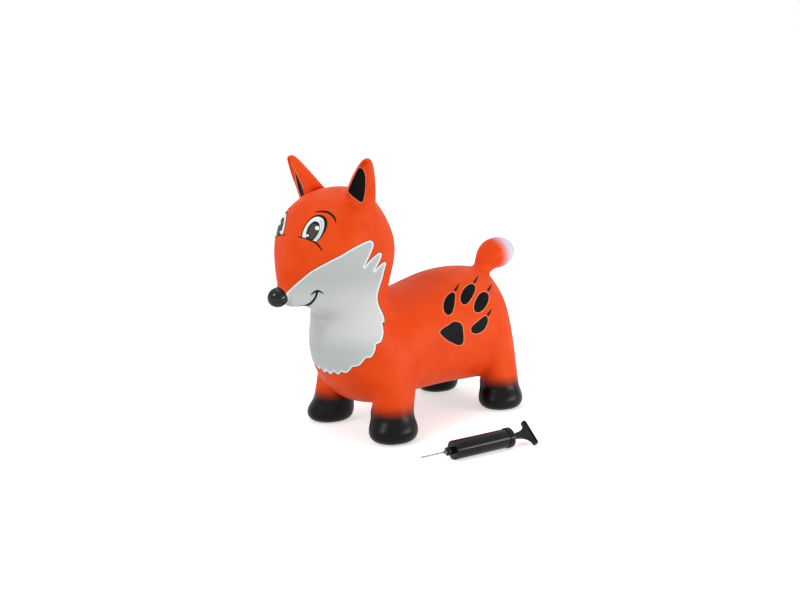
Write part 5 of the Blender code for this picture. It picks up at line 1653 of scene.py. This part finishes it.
class FOX_OT_needle(bpy.types.Operator):
    """Builds the ball needle's threaded base, tube and washer"""

    bl_idname = "fox.needle"
    bl_label = "Needle"

    def execute(self, context):
        """Turns the pieces on the pump's axis and lays the thread's ridge on the base."""
        settings = context.scene.fox_pump
        steel = finish("nickel_plated_steel", nickel_plate)
        place = pump_frame()
        start, end, flange = span("needle_hub", place)
        tube_start, tube_end, radius = span("needle_tube", place)
        washer_start, washer_end, washer = span("needle_washer", place)
        neck, thread, bore, socket = NEEDLE_NECK, NEEDLE_THREAD, NEEDLE_BORE, NEEDLE_SOCKET
        flange_end = washer_start - GAP
        flange_start = flange_end - NEEDLE_FLANGE
        tube_foot = tube_end + GAP
        edge = 0.3 * MM
        profile = (
            (socket, start, 0.2 * MM), (neck, start, 0.8 * MM), (neck, flange_start, edge),
            (flange, flange_start, edge), (flange, flange_end, edge), (thread, flange_end, 0.1 * MM),
            (thread, end, 0.4 * MM), (bore, end, 0.1 * MM), (bore, tube_foot, 0.0), (socket, tube_foot, 0.0),
        )
        base = turned("needle_base", profile, settings.small_segments, place)
        length = end - washer_end - RIDGE_SHORTER
        ridge = thread_mesh("needle_thread", steel, radius=RIDGE_RADIUS, pitch=settings.thread_pitch,
                            turns=length / settings.thread_pitch, ridge=RIDGE)
        ridge.transform(place @ Matrix.Translation((0.0, 0.0, washer_end + RIDGE_START)))
        shape = bmesh.new()
        shape.from_mesh(base)
        shape.from_mesh(ridge)
        bpy.data.meshes.remove(base)
        bpy.data.meshes.remove(ridge)
        show("needle_base", as_mesh(shape, "needle_base"), steel, "needle", "nickel_steel", "needle_hub")

        bore_end = tube_start + NEEDLE_SOLID_TIP
        profile = (
            (0.0, tube_start, 0.0), (radius, tube_start, 0.9 * MM), (radius, tube_end, 0.2 * MM),
            (bore, tube_end, 0.1 * MM), (bore, bore_end, 0.0), (0.0, bore_end, 0.0),
        )
        tube = turned("needle_shank", profile, settings.small_segments, place)
        port_place = place @ Matrix.Translation((0.0, 0.0, tube_start + NEEDLE_PORT_PLACE))
        port_place = port_place @ Matrix.Rotation(math.pi / 2.0, 4, "Y")
        port = turned("needle_port", (
            (0.0, NEEDLE_PORT_LENGTH, 0.0), (NEEDLE_PORT_RADIUS, NEEDLE_PORT_LENGTH, 0.0),
            (NEEDLE_PORT_RADIUS, 0.0, 0.0), (0.0, 0.0, 0.0),
        ), settings.small_segments, port_place)
        mesh = combined("needle_shank", tube, [(port, "DIFFERENCE")])
        show("needle_shank", mesh, steel, "needle", "nickel_steel", "needle_tube")

        profile = (
            (WASHER_HOLE, washer_start, 0.2 * MM), (washer, washer_start, 0.3 * MM),
            (washer, washer_end, 0.3 * MM), (WASHER_HOLE, washer_end, 0.2 * MM),
        )
        rubber = finish("nitrile_rubber", nitrile_rubber)
        show_turned("sealing_washer", profile, settings.small_segments, place,
                    rubber, "washer", "black_rubber", "needle_washer")
        return {"FINISHED"}


def looked_at(tree):
    """1 where the camera, a gloss or clear matter looks, and 0 for light that spreads."""
    path = add_node(tree, "ShaderNodeLightPath").outputs
    either = worked_out(tree, "MAXIMUM", path["Is Camera Ray"], path["Is Glossy Ray"])
    return worked_out(tree, "MAXIMUM", either, path["Is Transmission Ray"])


# The floor lies just under the soles. What it shows the camera grows brighter with the way from the
# middle, so that shadows show near the fox and none of the floor's far edge does.
FLOOR_DROP = 0.2 * MM
FLOOR_CELLS = 8
FLOOR_GRAIN = 60.0 * MM
FLOOR_GLOW_WAY = (0.5, 1.6)
FLOOR_GLOW = (0.55, 1.0)
SENSOR_WIDTH = 36.0
NEAREST_SEEN = 10.0 * MM


class FOX_OT_stage(bpy.types.Operator):
    """Builds the floor, the light and the camera"""

    bl_idname = "fox.stage"
    bl_label = "Stage"

    def execute(self, context):
        """Sets a white studio and looks at the fox from its left front."""
        scene = context.scene
        settings = scene.fox_stage
        scene.view_settings.view_transform = "Standard"
        self.add_floor(settings.floor_reach)
        self.add_world(scene, settings.ambient)
        low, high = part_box("skin")
        aim = (low + high) / 2.0
        # Name, place from the middle of the fox, breadth, height and power
        lamps = (
            ("key_lamp", Vector((0.2, -1.9, 1.35)), 0.7, 0.7, settings.key_power),
            ("side_lamp", Vector((1.9, 0.85, 0.1)), 1.2, 0.3, settings.side_power),
            ("top_lamp", Vector((-0.2, 0.2, 2.2)), 1.8, 1.8, settings.top_power),
        )
        for name, offset, breadth, height, power in lamps:
            lamp = bpy.data.lights.new(name, "AREA")
            lamp.shape = "RECTANGLE"
            lamp.size = breadth
            lamp.size_y = height
            lamp.energy = power
            holder = add_object(name, lamp)
            holder.location = aim + offset
            holder.rotation_euler = (-offset).to_track_quat("-Z", "Y").to_euler()
        self.add_camera(scene, low, high)
        return {"FINISHED"}

    @staticmethod
    def add_floor(reach):
        """Pale floor that keeps shadows and reads as white where none falls."""
        shape = bmesh.new()
        bmesh.ops.create_grid(shape, x_segments=FLOOR_CELLS, y_segments=FLOOR_CELLS, size=reach)
        bmesh.ops.translate(shape, verts=shape.verts, vec=(0.0, 0.0, -FLOOR_DROP))
        floor = add_object("studio_floor", as_mesh(shape, "studio_floor"))
        material = bpy.data.materials.new("studio_paper")
        material.use_nodes = True
        tree = material.node_tree
        tree.nodes.clear()
        place = add_node(tree, "ShaderNodeTexCoord").outputs["Object"]
        grain = ramp(tree, noise(tree, place, FLOOR_GRAIN), *NOISE_SPREAD, 0.0, 1.0)
        colour = mixed(tree, grain, linear("#F2F2F2"), linear("#F0F0F0"))
        lit = add_node(tree, "ShaderNodeBsdfDiffuse", {"Color": colour}).outputs["BSDF"]
        away = add_node(tree, "ShaderNodeVectorMath", {0: place}, operation="LENGTH").outputs["Value"]
        level = ramp(tree, away, *FLOOR_GLOW_WAY, *FLOOR_GLOW)
        glow = add_node(tree, "ShaderNodeEmission", {"Strength": level}).outputs["Emission"]
        both = add_node(tree, "ShaderNodeAddShader", {0: lit, 1: glow}).outputs["Shader"]
        surface = add_node(tree, "ShaderNodeMixShader", {0: looked_at(tree), 1: lit, 2: both})
        add_node(tree, "ShaderNodeOutputMaterial", {"Surface": surface.outputs["Shader"]})
        floor.data.materials.append(material)

    @staticmethod
    def add_world(scene, strength):
        """World that is white to the camera and lights the object plainly."""
        world = bpy.data.worlds.new("studio_air")
        scene.world = world
        world.use_nodes = True
        tree = world.node_tree
        tree.nodes.clear()
        level = ramp(tree, looked_at(tree), 0.0, 1.0, strength, 1.0)
        sky = add_node(tree, "ShaderNodeBackground", {"Strength": level, "Color": grey(1.0)})
        add_node(tree, "ShaderNodeOutputWorld", {"Surface": sky.outputs["Background"]})

    @staticmethod
    def add_camera(scene, low, high):
        """Camera at the left front, where the outlines of the paint are laid on from."""
        camera = bpy.data.cameras.new("left_front_view")
        camera.sensor_width = SENSOR_WIDTH
        camera.lens = VIEW_REACH * camera.sensor_width / (2.0 * VIEW_CENTRE[0])
        camera.clip_start = NEAREST_SEEN
        holder = add_object("left_front_view", camera)
        nose_tip = (NOSE_CENTRE + nose_direction() * (SMOOTH_NOSE_TIP_SHARE * NOSE_RADIUS)).y
        shift = Vector(((low.x + high.x) / 2.0, low.y - nose_tip, 0.0))
        holder.location = VIEW_PLACE + shift
        holder.rotation_euler = (math.pi / 2.0 - VIEW_PITCH, 0.0, VIEW_TURN)
        scene.camera = holder


class FOX_PT_panel(bpy.types.Panel):
    """Sidebar panel with the settings and the steps"""

    bl_label = "Inflatable fox"
    bl_idname = "FOX_PT_panel"
    bl_space_type = "VIEW_3D"
    bl_region_type = "UI"
    bl_category = "Fox"

    def draw(self, context):
        """Lists each group of settings above its steps."""
        scene = context.scene
        for settings, steps in (
            (scene.fox_skin, (FOX_OT_skin,)),
            (scene.fox_pump, (FOX_OT_valve, FOX_OT_pump_body, FOX_OT_plunger, FOX_OT_needle)),
            (scene.fox_stage, (FOX_OT_stage,)),
        ):
            box = self.layout.box()
            for name in type(settings).__annotations__:
                box.prop(settings, name)
            for step in steps:
                box.operator(step.bl_idname)


SETTINGS = (("fox_skin", FoxSkinSettings), ("fox_pump", FoxPumpSettings), ("fox_stage", FoxStageSettings))
STEPS = (FOX_OT_skin, FOX_OT_valve, FOX_OT_pump_body, FOX_OT_plunger, FOX_OT_needle, FOX_OT_stage)


def register():
    """Registers the settings, the steps and the panel."""
    for name, group in SETTINGS:
        bpy.utils.register_class(group)
        setattr(bpy.types.Scene, name, bpy.props.PointerProperty(type=group))
    for step in STEPS:
        bpy.utils.register_class(step)
    bpy.utils.register_class(FOX_PT_panel)


def unregister():
    """Takes back what register did."""
    bpy.utils.unregister_class(FOX_PT_panel)
    for step in reversed(STEPS):
        bpy.utils.unregister_class(step)
    for name, group in reversed(SETTINGS):
        delattr(bpy.types.Scene, name)
        bpy.utils.unregister_class(group)


def main():
    """Builds everything."""
    register()
    bpy.ops.fox.skin()
    bpy.ops.fox.valve()
    bpy.ops.fox.pump_body()
    bpy.ops.fox.plunger()
    bpy.ops.fox.needle()
    bpy.ops.fox.stage()


if __name__ == "__main__":
    main()
